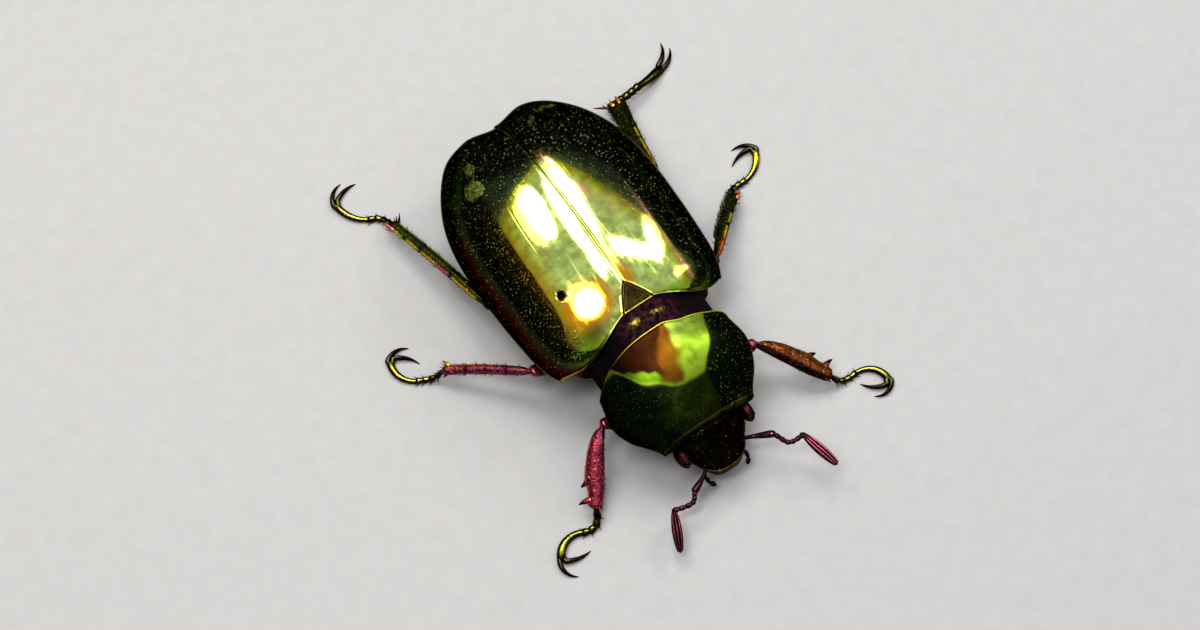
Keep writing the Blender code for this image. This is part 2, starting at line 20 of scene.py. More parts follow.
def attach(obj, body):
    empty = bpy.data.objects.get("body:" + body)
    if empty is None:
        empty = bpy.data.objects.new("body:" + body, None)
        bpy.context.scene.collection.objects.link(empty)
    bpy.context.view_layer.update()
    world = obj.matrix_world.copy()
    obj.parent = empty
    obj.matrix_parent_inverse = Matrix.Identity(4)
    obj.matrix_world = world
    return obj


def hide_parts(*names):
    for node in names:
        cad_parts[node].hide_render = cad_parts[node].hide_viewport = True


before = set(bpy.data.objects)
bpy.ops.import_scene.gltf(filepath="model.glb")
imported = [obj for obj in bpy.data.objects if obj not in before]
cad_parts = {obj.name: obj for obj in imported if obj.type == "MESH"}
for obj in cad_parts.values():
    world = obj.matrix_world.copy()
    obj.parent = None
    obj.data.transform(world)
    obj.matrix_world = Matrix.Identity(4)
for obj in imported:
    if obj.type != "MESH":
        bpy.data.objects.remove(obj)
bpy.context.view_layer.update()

Array = np.ndarray
Values = Array | float
Marks = dict[str, Array]
Colour = tuple[float, float, float]
Place = tuple[float, float, float]
Two = tuple[float, float]
Row = tuple[float, ...]
Material = bpy.types.Material
Socket = bpy.types.NodeSocket
LOG = logging.getLogger("scarab")
MM = 0.001
BODY = "root"
CREASE = math.radians(50.0)
TINY = 1e-12
UP = (0.0, 0.0, 1.0)


class Side(Enum):
    """The beetle's two sides, with the sign of X on each."""

    LEFT = 1
    RIGHT = -1

    @property
    def word(self) -> str:
        """The side's name as the nodes have it."""
        return self.name.lower()

    @property
    def place(self) -> int:
        """Its place in a pair of values, the left one first."""
        return 0 if self is Side.LEFT else 1


class Pair(Enum):
    """The three pairs of legs."""

    FORE = "fore"
    MID = "mid"
    HIND = "hind"


class Hook(Enum):
    """The two claws of a foot."""

    OUTER = "outer"
    INNER = "inner"


class Outline(Enum):
    """Outlines of a soft light."""

    OBLONG = "RECTANGLE"
    OVAL = "ELLIPSE"


# ---- geometry


def eased(stops: Sequence, t: Array) -> Array:
    """Smooth values through evenly spaced stops.

    Args:
        stops: numbers or points, the first for 0 and the last for 1.
        t: shares from 0 to 1.

    Returns:
        One value or point for each share.
    """
    v = np.asarray(stops, float)
    t = np.asarray(t, float)
    last = len(v) - 1
    k = np.clip((t * last).astype(int), 0, last - 1)
    u = t * last - k
    if v.ndim > 1:
        u = u[..., None]
    slope_in = (v[k + 1] - v[np.maximum(k - 1, 0)]) / 2
    slope_out = (v[np.minimum(k + 2, last)] - v[k]) / 2
    a = 2 * v[k] - 2 * v[k + 1] + slope_in + slope_out
    b = 3 * v[k + 1] - 3 * v[k] - 2 * slope_in - slope_out
    return ((a * u + b) * u + slope_in) * u + v[k]


def vault(share: Array, powers: Two) -> Array:
    """Height of an arched section: 1 on the middle line and 0 at the rim, where share is 1."""
    return np.maximum(1 - np.minimum(np.abs(share), 1.0) ** powers[0], 0.0) ** (1 / powers[1])


def share_of(start: float, end: float, x: Values) -> Array:
    """How far x has come from start to end, between 0 and 1."""
    return np.clip((np.asarray(x, float) - start) / (end - start), 0, 1)


def rise(low: float, high: float, x: Values) -> Array:
    """A smooth step from 0 at low to 1 at high; high may be the lower number."""
    t = share_of(low, high, x)
    return t * t * (3 - 2 * t)


def span(rising: Two, falling: Two, x: Array) -> Array:
    """1 between a soft start and a soft end, 0 outside them."""
    return rise(*rising, x) * rise(*falling, x)


def bell(x: Array, at: Values, reach: float) -> Array:
    """A bell curve, 1 in its middle."""
    return np.exp(-(((x - at) / reach) ** 2))


def between(ends: Two, share: Values) -> Values:
    """The number that lies at a share of the way from the first end to the second."""
    return ends[0] + (ends[1] - ends[0]) * share


def fan(count: int) -> Array:
    """A row of shares from -1 to 1 that lie closer together towards both ends."""
    return np.sin(math.pi / 2 * np.linspace(-1, 1, count))[None, :]


def arch(share: Array) -> Array:
    """Half a wave: 0 at shares 0 and 1, and 1 half way."""
    return np.sin(math.pi * share)


def cos_sin(degrees: float) -> Two:
    """Cosine and sine of an angle."""
    return math.cos(math.radians(degrees)), math.sin(math.radians(degrees))


def blob(x: Array, y: Array, at: Two, reach: Two, turn: float = 0.0) -> Array:
    """A soft round patch, 1 in the middle.

    Args:
        x: places across.
        y: places along.
        at: the patch's middle.
        reach: its two half sizes.
        turn: degrees that it is turned by.

    Returns:
        The patch's strength at each place.
    """
    c, s = cos_sin(turn)
    u = ((x - at[0]) * c + (y - at[1]) * s) / reach[0]
    v = (-(x - at[0]) * s + (y - at[1]) * c) / reach[1]
    return np.exp(-(u * u + v * v))


def spaced(count: int, places: Sequence[float], pull: float = 6.0, reach: float = 0.02) -> Array:
    """Shares from 0 to 1 that lie closer together near some places.

    Args:
        count: how many shares.
        places: where they lie closer.
        pull: how much closer.
        reach: how far round each place.

    Returns:
        The shares, rising from 0 to 1.
    """
    t = np.linspace(0, 1, 4001)
    density = 1 + sum(pull * bell(t, place, reach) for place in places)
    total = np.concatenate([[0], np.cumsum((density[1:] + density[:-1]) / 2)])
    return np.interp(np.linspace(0, 1, count), total / total[-1], t)


def travel(points: Array, axis: int) -> Array:
    """Distance along the lines of a grid of points, from the first point of each line.

    Args:
        points: the grid.
        axis: 0 to go along its columns, 1 along its rows.

    Returns:
        The distance of each point.
    """
    step = np.linalg.norm(np.diff(points, axis=axis), axis=-1)
    pad = [(0, 0), (0, 0)]
    pad[axis] = (1, 0)
    return np.cumsum(np.pad(step, pad), axis=axis)


def to_ends(points: Array, axis: int) -> Array:
    """Distance along the lines of a grid of points, to the nearer end of each line."""
    along = travel(points, axis)
    return np.minimum(along, along.take([-1], axis) - along)


def chained(start: Array, moves: Array) -> Array:
    """The points that a row of moves leads through, from a start."""
    return start + np.concatenate([np.zeros((1, 3)), np.cumsum(moves, axis=0)])


def unit(v: Array) -> Array:
    """Vectors of length 1."""
    v = np.asarray(v, float)
    return v / np.maximum(np.linalg.norm(v, axis=-1, keepdims=True), TINY)


def joined(x: Array, y: Array, z: Array) -> Array:
    """Points from their coordinates, which may be rows, columns or single numbers."""
    return np.stack(np.broadcast_arrays(x, y, z), -1)


def normals(points: Array) -> Array:
    """Normals of a grid of points that is seen from above."""
    n = unit(np.cross(np.gradient(points, axis=0), np.gradient(points, axis=1)))
    return n * np.where(n[..., 2:3] < 0, -1.0, 1.0)


def bead(distance: Array, width: float, height: float) -> Array:
    """Relief of a rounded bead along an edge, with a fine groove behind it.

    Args:
        distance: distance from the edge.
        width: the bead's width.
        height: the bead's height.

    Returns:
        The height at each place.
    """
    ridge = height * np.sqrt(np.maximum(1 - ((distance - width / 2) / (width / 2)) ** 2, 0))
    groove = 0.6 * height * bell(distance, 1.25 * width, 0.3 * width)
    return np.where(distance < width, ridge, 0) - groove


def heading(degrees: float) -> Array:
    """A level direction: 0 is along +X, turning left as seen from above."""
    return np.array([*cos_sin(degrees), 0.0])


def mirrored(place: Place, side: Side) -> Array:
    """A place of the left side, on either side."""
    return np.array([place[0] * side.value, place[1], place[2]], float)


def placed(name: str, data: bpy.types.ID) -> bpy.types.Object:
    """Puts an object into the scene.

    Args:
        name: its name.
        data: its mesh, light or camera.

    Returns:
        The object.
    """
    made = bpy.data.objects.new(name, data)
    bpy.context.scene.collection.objects.link(made)
    return made


@dataclass(frozen=True)
class Patch:
    """A soft patch of one mark or of relief."""

    mark: str
    strength: float
    at: Two
    reach: Two
    turn: float = 0.0

    def on(self, x: Array, y: Array) -> Array:
        """Its strength at each place."""
        return self.strength * blob(x, y, self.at, self.reach, self.turn)


Patches = tuple[Patch, ...]


class Piece:
    """Closed meshes in millimetres that become one object of the beetle."""

    tube_end: float = 0.06
    spine_taper: Two = (0.93, 1.3)
    hair_patch: float = 0.0014
    hair_patch_taper: float = 0.8

    def __init__(self, name: str) -> None:
        """Starts a piece.

        Args:
            name: its name.
        """
        self.name = name
        self.points: list[Array] = []
        self.faces: list[list[int]] = []
        self.values: dict[str, list[tuple[int, Array]]] = {}
        self.count = 0
        self.roots: list[tuple[int, Array]] = []

    def add(self, points: Array, faces: Sequence, roots: Array | None = None, **values: Array) -> None:
        """Adds one closed mesh.

        Args:
            points: its points.
            faces: arrays of faces, each with one number of corners.
            roots: for hairs, the place of each point on the unwrapped skin.
            values: named values, one for each point.
        """
        points = np.asarray(points, float).reshape(-1, 3)
        for group in faces:
            self.faces += (np.asarray(group) + self.count).tolist()
        for name, value in values.items():
            spread = np.broadcast_to(np.asarray(value, float).ravel(), (len(points),))
            self.values.setdefault(name, []).append((self.count, spread))
        if roots is not None:
            self.roots.append((self.count, roots))
        self.points.append(points)
        self.count += len(points)

    def slab(self, upper: Array, under: Array, **values: Array) -> None:
        """Adds a closed slab between two grids of points.

        Args:
            upper: rows and columns of points.
            under: as many points on the other side.
            values: named values, one for each point of a grid.
        """
        rows, columns = upper.shape[:2]
        count = rows * columns
        index = np.arange(count).reshape(rows, columns)
        corners = [index[:-1, :-1], index[:-1, 1:], index[1:, 1:], index[1:, :-1]]
        quads = np.stack(corners, -1).reshape(-1, 4)
        border = np.concatenate([index[0, :-1], index[:-1, -1], index[-1, :0:-1], index[:0:-1, 0]])
        after = np.roll(border, -1)
        wall = np.stack([border, border + count, after + count, after], -1)
        shape = (rows, columns)
        both = {k: np.tile(np.broadcast_to(v, shape).ravel(), 2) for k, v in values.items()}
        points = np.concatenate([upper.reshape(-1, 3), under.reshape(-1, 3)])
        self.add(points, [quads, quads[:, ::-1] + count, wall], **both)

    def tube(
        self, path: Array, widths: Array, depths: Array | None = None, side: Sequence[float] | None = None,
        ring: int = 18, caps: int = 4, **values: Array,
    ) -> None:
        """Adds a closed tube of oval section with rounded ends.

        Args:
            path: points of its centre line.
            widths: half widths along side, one for each point.
            depths: half depths across it; the widths if left out.
            side: the direction of the widths; level if left out.
            ring: points round the tube.
            caps: rings in each rounded end.
            values: named values along the path, or functions of outward directions and of shares along it.
        """
        path = np.asarray(path, float)
        shares = np.concatenate([np.zeros(caps), np.linspace(0, 1, len(path)), np.ones(caps)])[:, None]
        widths = np.broadcast_to(widths, (len(path),))
        depths = widths if depths is None else np.broadcast_to(depths, (len(path),))
        tangent = unit(np.gradient(path, axis=0))
        turns = np.linspace(0, math.pi / 2, caps + 1)[:-1]
        radius = (min(widths[0], depths[0]), min(widths[-1], depths[-1]))
        before = path[0] - tangent[0] * (radius[0] * np.cos(turns))[:, None]
        after = path[-1] + tangent[-1] * (radius[1] * np.cos(turns[::-1]))[:, None]
        small = np.maximum(np.sin(turns), self.tube_end)
        path = np.concatenate([before, path, after])
        tangent = np.pad(tangent, ((caps, caps), (0, 0)), "edge")
        widths = np.concatenate([small * widths[0], widths, small[::-1] * widths[-1]])
        depths = np.concatenate([small * depths[0], depths, small[::-1] * depths[-1]])
        if side is None:
            across = np.cross(tangent, UP)
            across[np.linalg.norm(across, axis=-1) < 1e-3] = (1.0, 0.0, 0.0)
        else:
            side = np.broadcast_to(side, tangent.shape)
            across = side - tangent * np.sum(side * tangent, -1, keepdims=True)
        across = unit(across)
        normal = np.cross(tangent, across)
        angle = 2 * math.pi * (np.arange(ring) + 0.5) / ring
        points = (
            path[:, None]
            + across[:, None] * (widths[:, None] * np.cos(angle))[..., None]
            + normal[:, None] * (depths[:, None] * np.sin(angle))[..., None]
        )
        facing = across[:, None] * np.cos(angle)[:, None] + normal[:, None] * np.sin(angle)[:, None]
        points[..., 2] = np.maximum(points[..., 2], 0.0)
        rows = len(path)
        index = np.arange(rows * ring).reshape(rows, ring)
        turned = np.roll(index, -1, axis=1)
        quads = np.stack([index[:-1], turned[:-1], turned[1:], index[1:]], -1).reshape(-1, 4)
        long = {}
        for name, value in values.items():
            if callable(value):
                long[name] = np.broadcast_to(value(facing, shares), (rows, ring))
                continue
            value = np.asarray(value, float)
            value = value if value.ndim == 2 else np.broadcast_to(value, (rows - 2 * caps,))[:, None]
            long[name] = np.broadcast_to(np.pad(value, ((caps, caps), (0, 0)), "edge"), (rows, ring))
        self.add(points, [quads, index[:1, ::-1], index[-1:]], **long)

    def ball(self, centre: Sequence[float], radii: Sequence[float], rings: int = 20, ring: int = 28) -> None:
        """Adds a closed ellipsoid.

        Args:
            centre: its middle.
            radii: its half sizes.
            rings: rings from pole to pole.
            ring: points in each.
        """
        pole = 0.03
        turn = np.linspace(pole, math.pi - pole, rings)
        path = np.asarray(centre, float) + np.array([[0, 0, 1.0]]) * (radii[2] * -np.cos(turn))[:, None]
        self.tube(path, radii[0] * np.sin(turn), radii[1] * np.sin(turn), side=(1, 0, 0), ring=ring, caps=1)

    def spines(
        self, roots: Array, tips: Array, radius: Values, bend: Values = 0.0,
        ring: int = 5, steps: int = 4, skin: Array | None = None, **values: Array,
    ) -> None:
        """Adds pointed spines or hairs, each a closed mesh.

        Args:
            roots: where each starts.
            tips: where each ends.
            radius: radius of each at its root.
            bend: how far the middle of each is pushed aside.
            ring: points round each.
            steps: lengths along each.
            skin: for hairs, the roots' places on the unwrapped skin.
            values: named values, one for each spine.
        """
        roots, tips = np.atleast_2d(roots).astype(float), np.atleast_2d(tips).astype(float)
        count = len(roots)
        t = np.linspace(0, 1, steps + 1)[None, :, None]
        bend = np.broadcast_to(bend, roots.shape)
        centre = roots[:, None] + (tips - roots)[:, None] * t + bend[:, None] * (4 * t * (1 - t))
        way = unit(tips - roots)
        across = unit(np.cross(way, np.where(np.abs(way[:, 2:]) > 0.9, (1.0, 0, 0), (0, 0, 1.0))))
        normal = np.cross(way, across)
        angle = 2 * math.pi * np.arange(ring) / ring
        around = across[:, None] * np.cos(angle)[:, None] + normal[:, None] * np.sin(angle)[:, None]
        thin = 1 - self.spine_taper[0] * t[0, :, 0] ** self.spine_taper[1]
        thick = np.broadcast_to(radius, (count,))[:, None] * thin
        points = centre[:, :, None] + around[:, None] * thick[..., None, None]
        points[..., 2] = np.maximum(points[..., 2], 0.0)
        index = np.arange(count * (steps + 1) * ring).reshape(count, steps + 1, ring)
        turned = np.roll(index, -1, axis=2)
        quads = np.stack([index[:, :-1], turned[:, :-1], turned[:, 1:], index[:, 1:]], -1).reshape(-1, 4)
        each = (steps + 1) * ring
        patch = None
        if skin is not None:
            round_root = np.stack([np.cos(angle), np.sin(angle)], -1)[None, None] * self.hair_patch
            shrink = 1 - self.hair_patch_taper * t[..., None]
            patch = (np.asarray(skin)[:, None, None] + round_root * shrink).reshape(-1, 2)
        repeated = {k: np.repeat(np.broadcast_to(v, (count,)), each) for k, v in values.items()}
        self.add(points, [quads, index[:, 0, ::-1], index[:, -1]], roots=patch, **repeated)

    def build(self, material: Material, slot: str, *nodes: str) -> None:
        """Makes the object, which rides on the body.

        Args:
            material: its finish.
            slot: not used.
            nodes: the solids that it stands for.
        """
        mesh = bpy.data.meshes.new(self.name)
        points = np.concatenate(self.points)
        mesh.from_pydata((points * MM).tolist(), [], self.faces)
        mesh.shade_smooth()
        mesh.set_sharp_from_angle(angle=CREASE)
        for name, groups in self.values.items():
            filled = np.zeros(self.count, np.float32)
            for start, value in groups:
                filled[start : start + len(value)] = value
            mesh.attributes.new(name, "FLOAT", "POINT").data.foreach_set("value", filled)
        if self.roots:
            flat = np.zeros((self.count, 2), np.float32)
            for start, value in self.roots:
                flat[start : start + len(value)] = value
            corners = np.zeros(len(mesh.loops), np.int32)
            mesh.loops.foreach_get("vertex_index", corners)
            mesh.uv_layers.new(name="OFBake").data.foreach_set("uv", flat[corners].ravel())
        mesh.materials.append(material)
        made = placed(self.name, mesh)
        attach(made, BODY)
        if nodes:
            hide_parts(*nodes)
        LOG.info("%s: %d points, %d faces", self.name, self.count, len(self.faces))


# ---- finishes


class Graph:
    """A material's nodes, with short calls for the ones that the finishes use."""

    mix_colours: tuple[int, int] = (6, 7)
    mix_result: int = 2

    def __init__(self, name: str, roughness: float, metallic: float) -> None:
        """Starts a material.

        Args:
            name: the material's name.
            roughness: its plain roughness.
            metallic: its metallic share.
        """
        self.material = bpy.data.materials.new(name)
        self.material.use_nodes = True
        self.tree = self.material.node_tree
        self.shader = self.tree.nodes["Principled BSDF"]
        self.plain(Roughness=roughness, Metallic=metallic)
        self.place = self.maths("SCALE", self.node("TexCoord").outputs["Object"], 1 / MM, "Vector")

    def feed(self, socket: Socket, source: Socket | float | Sequence[float]) -> None:
        """Links a socket to another, or sets it.

        Args:
            socket: the socket that is fed.
            source: what it is linked to, or its number, place or colour.
        """
        if isinstance(source, Socket):
            self.tree.links.new(source, socket)
        elif isinstance(source, (int, float)):
            socket.default_value = source
        else:
            socket.default_value = (*source, 1.0) if len(socket.default_value) == 4 else tuple(source)

    def plain(self, **numbers: float | Colour) -> None:
        """Sets what is the same all over on the shader's own sockets, each by its name."""
        for name, number in numbers.items():
            self.feed(self.shader.inputs[name.replace("_", " ")], number)

    def node(self, kind: str, **sources: Socket | float | None) -> bpy.types.Node:
        """Adds a node.

        Args:
            kind: the node's kind.
            sources: what feeds its sockets, each by its name; None leaves a socket as it is.

        Returns:
            The node.
        """
        made = self.tree.nodes.new("ShaderNode" + kind)
        for name, source in sources.items():
            if source is not None:
                self.feed(made.inputs[name.replace("_", " ")], source)
        return made

    def attribute(self, name: str, share: float = 1.0) -> Socket:
        """A named value of the mesh's points, at a share of its strength.

        Args:
            name: the value's name.
            share: what it is multiplied by.

        Returns:
            The value's socket.
        """
        node = self.node("Attribute")
        node.attribute_name = name
        value = node.outputs["Fac"]
        return value if share == 1.0 else self.times(value, share)

    def noise(self, scale: float, detail: float, share: Place | None = None, warp: float = 0.0) -> Socket:
        """Clouds round 0.5, so many per millimetre; share says how each axis counts, for streaks."""
        place = self.maths("MULTIPLY", self.place, share, "Vector") if share else self.place
        return self.node("TexNoise", Vector=place, Scale=scale, Detail=detail, Distortion=warp).outputs["Fac"]

    def cells(self, scale: float) -> tuple[Socket, Socket, Socket]:
        """Scattered points.

        Args:
            scale: points per millimetre.

        Returns:
            The distance to the nearest point, and two random numbers of it.
        """
        node = self.node("TexVoronoi", Vector=self.place, Scale=scale)
        chance = self.node("SeparateColor", Color=node.outputs["Color"]).outputs
        return node.outputs["Distance"], chance[0], chance[1]

    def maths(self, operation: str, a: Socket, b: Socket | Place | float, kind: str = "") -> Socket:
        """One operation on two values.

        Args:
            operation: its name.
            a: the first value.
            b: the second value.
            kind: Vector for places and colours.

        Returns:
            The result's socket.
        """
        node = self.node(kind + "Math")
        node.operation = operation
        self.feed(node.inputs[0], a)
        self.feed(node.inputs["Scale" if operation == "SCALE" else 1], b)
        return node.outputs[0]

    def times(self, a: Socket, b: Socket | float) -> Socket:
        """The product of two values."""
        return self.maths("MULTIPLY", a, b)

    def plus(self, a: Socket, b: Socket | float) -> Socket:
        """The sum of two values."""
        return self.maths("ADD", a, b)

    def step(self, value: Socket, low: float, high: float, floor: float = 0.0, top: float = 1.0) -> Socket:
        """A smooth step of a value.

        Args:
            value: the value's socket.
            low: where the step starts.
            high: where it ends.
            floor: the result up to low.
            top: the result from high on.

        Returns:
            The result's socket.
        """
        node = self.node("MapRange", Value=value, From_Min=low, From_Max=high, To_Min=floor, To_Max=top)
        node.interpolation_type = "SMOOTHSTEP"
        return node.outputs["Result"]

    def mix(self, share: Socket, a: Socket | Colour, b: Socket | Colour) -> Socket:
        """A colour between two others.

        Args:
            share: 0 for the first colour, 1 for the second.
            a: the first colour.
            b: the second colour.

        Returns:
            The colour's socket.
        """
        node = self.node("Mix")
        node.data_type = "RGBA"
        self.feed(node.inputs["Factor"], share)
        for socket, colour in zip(self.mix_colours, (a, b)):
            self.feed(node.inputs[socket], colour)
        return node.outputs[self.mix_result]

    def ramp(self, value: Socket, stops: Sequence[tuple[float, Colour]]) -> Socket:
        """Colours along a value.

        Args:
            value: the value's socket.
            stops: places from 0 to 1, each with a colour.

        Returns:
            The colour's socket.
        """
        node = self.node("ValToRGB", Fac=value)
        points = node.color_ramp.elements
        while len(points) < len(stops):
            points.new(0.5)
        for point, (place, colour) in zip(points, stops):
            point.position = place
            point.color = (*colour, 1.0)
        return node.outputs["Color"]

    def bump(self, height: Socket, depth: float, before: Socket | None = None) -> Socket:
        """A normal from a height, so many millimetres deep and laid on the normal before."""
        node = self.node("Bump", Strength=1.0, Distance=depth * MM, Height=height, Normal=before)
        return node.outputs["Normal"]

    def dress(self, colour: Socket, roughness: Socket = None, normal: Socket = None) -> Material:
        """Feeds the shader.

        Args:
            colour: the colour's socket.
            roughness: the roughness's socket, where it varies.
            normal: the normal's socket, where there is one.

        Returns:
            The material.
        """
        for name, source in (("Base Color", colour), ("Roughness", roughness), ("Normal", normal)):
            if source is not None:
                self.feed(self.shader.inputs[name], source)
        return self.material


@dataclass(frozen=True)
class GildedFinish:
    """Mirror-like gold of the back plates: pale in a painted lit field, then darkening down the flanks into
    pitted black green as painted shade.
    """

    name: str
    # pale down to flank: tones from the painted lit field to the painted shade of the flanks
    pale: Colour = (0.45, 0.58, 0.145)
    field: Colour = (0.42, 0.5, 0.072)
    gold: Colour = (0.3, 0.3, 0.015)
    olive: Colour = (0.045, 0.06, 0.01)
    flank: Colour = (0.016, 0.024, 0.01)
    amber: Colour = (0.56, 0.24, 0.01)
    rose: Colour = (0.8, 0.42, 0.22)
    brown: Colour = (0.06, 0.022, 0.008)
    lime: Colour = (0.17, 0.32, 0.015)
    rust: Colour = (0.032, 0.008, 0.006)
    chalk: Colour = (0.22, 0.26, 0.04)
    trim: Colour = (0.62, 0.46, 0.04)
    spark: Colour = (0.66, 0.72, 0.3)
    pit: Colour = (0.004, 0.002, 0.001)
    edge_tint: Colour = (0.1, 0.12, 0.04)
    tilt_stops: Row = (0.0, 0.12, 0.21, 0.32, 0.5)
    streak: Place = (1.0, 0.22, 1.0)
    scratch: Place = (1.0, 0.06, 1.0)
    cloud_share: float = 0.16
    roughness: float = 0.07
    scratched: float = 0.1
    dusty: float = 0.32
    pitted: float = 0.06
    pits: float = 8.0
    depths: Place = (0.006, 0.0006, 0.02)

    def ground(self, g: Graph) -> Socket:
        """The painted light and shade: pale in the painted lit field, darker outward into the painted shade
        of the flanks, in clouds and grain.

        Args:
            g: the material's nodes.

        Returns:
            The colour's socket.
        """
        cloud = g.plus(g.noise(0.33, 3.0), -0.5)
        # painted light picks the tone: pale where lit, dark where painted shade lies
        lean = g.plus(g.attribute("tilt"), g.times(cloud, self.cloud_share))
        tones = (self.pale, self.field, self.gold, self.olive, self.flank)
        grain = g.step(g.noise(1.6, 8.0), 0.34, 0.66, 0.7, 1.18)
        return g.maths("SCALE", g.ramp(lean, list(zip(self.tilt_stops, tones))), grain, "Vector")

    def material(self) -> Material:
        """Makes the material, its marks laid over the ground one by one.

        Returns:
            The material.
        """
        g = Graph(self.name, self.roughness, 1.0)
        g.plain(Specular_Tint=self.edge_tint)
        streak = g.noise(0.55, 4.0, self.streak, 0.4)
        # painted reflection: pink fringes along the edges of the lit field
        tone = g.mix(g.times(g.attribute("rosy"), g.step(streak, 0.4, 0.62)), self.ground(g), self.rose)
        # warm: painted amber reflection round the highlights
        tone = g.mix(g.times(g.attribute("warm"), g.step(streak, 0.2, 0.7, 0.88, 1.0)), tone, self.amber)
        # painted dark reflection: brown patches streaked with dark red
        tone = g.mix(g.attribute("brown"), tone, g.mix(g.step(streak, 0.35, 0.65), self.brown, self.rust))
        tone = g.mix(g.attribute("lime"), tone, self.lime)
        # painted dark red reflection, on the steep right flank and in a spot on the shield
        tone = g.mix(g.attribute("rust"), tone, self.rust)
        dirt = g.step(g.plus(g.attribute("chalk"), g.times(g.noise(2.6, 5.0), 0.7)), 0.82, 1.0)
        dust = g.mix(g.step(g.noise(5.0, 3.0), 0.4, 0.62), self.olive, self.chalk)
        tone = g.mix(g.times(dirt, 0.9), tone, dust)
        # painted glints: bright colour on scattered pits
        distance, chance, kind = g.cells(self.pits)
        pit = g.times(g.step(distance, 0.34, 0.14), g.attribute("pitted"))
        glint = g.times(pit, g.step(chance, 0.54, 1.12))
        tone = g.mix(glint, tone, g.mix(kind, self.spark, self.trim))
        # painted highlight along the beads
        tone = g.mix(g.attribute("bead"), tone, self.trim)
        # painted shade: near-black in the pin hole and in the slit between the cases
        tone = g.mix(g.attribute("hole"), tone, self.pit)
        scratch = g.noise(3.4, 2.0, self.scratch, 0.8)
        rough = g.step(scratch, 0.5, 0.75, self.roughness, self.roughness + self.scratched)
        rough = g.plus(rough, g.times(g.maths("MAXIMUM", glint, dirt), self.dusty))
        rough = g.plus(rough, g.attribute("pitted", self.pitted))
        normal = g.bump(g.noise(0.9, 2.0), self.depths[0])
        normal = g.bump(scratch, self.depths[1], normal)
        normal = g.bump(g.times(pit, -1.0), self.depths[2], normal)
        return g.dress(tone, rough, normal)


@dataclass(frozen=True)
class ShellFinish:
    """Coloured metal of the limbs and the underside: two tones in clouds, with pits and grain, painted
    glints, painted highlight lines, and painted shade in the pits and underneath.
    """

    name: str
    main: Colour
    deep: Colour
    spark: Colour
    pit: Colour
    roughness: float = 0.28
    cloud: float = 1.1
    cells: float = 7.0
    glints: float = 0.5
    depth: float = 0.02
    under: float = 0.6
    second: Colour = (0.4, 0.1, 0.03)
    lined: bool = False
    shade: Colour = (0.012, 0.007, 0.008)
    underside: Colour = (0.015, 0.01, 0.01)
    edge_tint: Colour = (0.35, 0.3, 0.25)
    line_tones: tuple[tuple[float, Colour], ...] = (
        (0.0, (0.16, 0.42, 0.03)), (0.3, (0.85, 0.72, 0.03)),
        (0.6, (0.95, 0.24, 0.03)), (1.0, (0.8, 0.16, 0.26)),
    )
    line_share: float = 0.95
    line_rough: float = 0.2

    def material(self) -> Material:
        """Makes the material.

        Returns:
            The material.
        """
        g = Graph(self.name, self.roughness, 1.0)
        g.plain(Specular_Tint=self.edge_tint)
        cloud = g.noise(self.cloud, 4.0, None, 0.3)
        tone = g.mix(g.step(cloud, 0.38, 0.64), self.main, self.deep)
        tone = g.mix(g.attribute("warm"), tone, self.second)
        pit = g.step(g.cells(self.cells)[0], 0.42, 0.2)
        # painted shade: darker in the pits
        tone = g.mix(g.times(pit, 0.75), tone, self.pit)
        # painted glints: bright colour on scattered points
        distance, chance = g.cells(self.cells * 0.8)[:2]
        glint = g.times(g.step(distance, 0.3, 0.12), g.step(chance, 1 - self.glints, 1.0))
        tone = g.mix(glint, tone, self.spark)
        # painted highlight: the edge mark takes the line tones on lined finishes and the spark tone on the
        # rest
        line = g.ramp(g.attribute("flush"), self.line_tones) if self.lined else self.spark
        tone = g.mix(g.attribute("edge", self.line_share), tone, line)
        # dark: the shade tone, for dark joints, spines and hairs, and painted shade where a part lies in
        # shadow
        tone = g.mix(g.attribute("dark"), tone, self.shade)
        # painted shade: faces turned down take the dark underside tone
        up = g.node("SeparateXYZ", Vector=g.node("NewGeometry").outputs["Normal"]).outputs["Z"]
        low = g.times(g.step(up, 0.25, -0.5), self.under)
        tone = g.mix(low, tone, self.underside)
        rough = g.step(cloud, 0.3, 0.7, self.roughness - 0.05, self.roughness + 0.12)
        if self.lined:
            rough = g.plus(rough, g.attribute("edge", self.line_rough))
        normal = g.bump(g.noise(self.cells * 0.45, 3.0), self.depth * 0.8)
        normal = g.bump(g.times(pit, -1.0), self.depth, normal)
        return g.dress(tone, rough, normal)


@dataclass(frozen=True)
class FuzzFinish:
    """Short, dull hairs in two tones."""

    name: str
    deep: Colour
    light: Colour
    shade: Colour = (0.002, 0.001, 0.0012)
    roughness: float = 0.55
    specular: float = 0.1

    def material(self) -> Material:
        """Makes the material.

        Returns:
            The material.
        """
        g = Graph(self.name, self.roughness, 0.0)
        g.plain(Specular_IOR_Level=self.specular)
        tone = g.mix(g.step(g.noise(3.0, 3.0), 0.35, 0.65), self.deep, self.light)
        # painted shade where the dark mark lies
        tone = g.mix(g.attribute("dark"), tone, self.shade)
        return g.dress(tone)


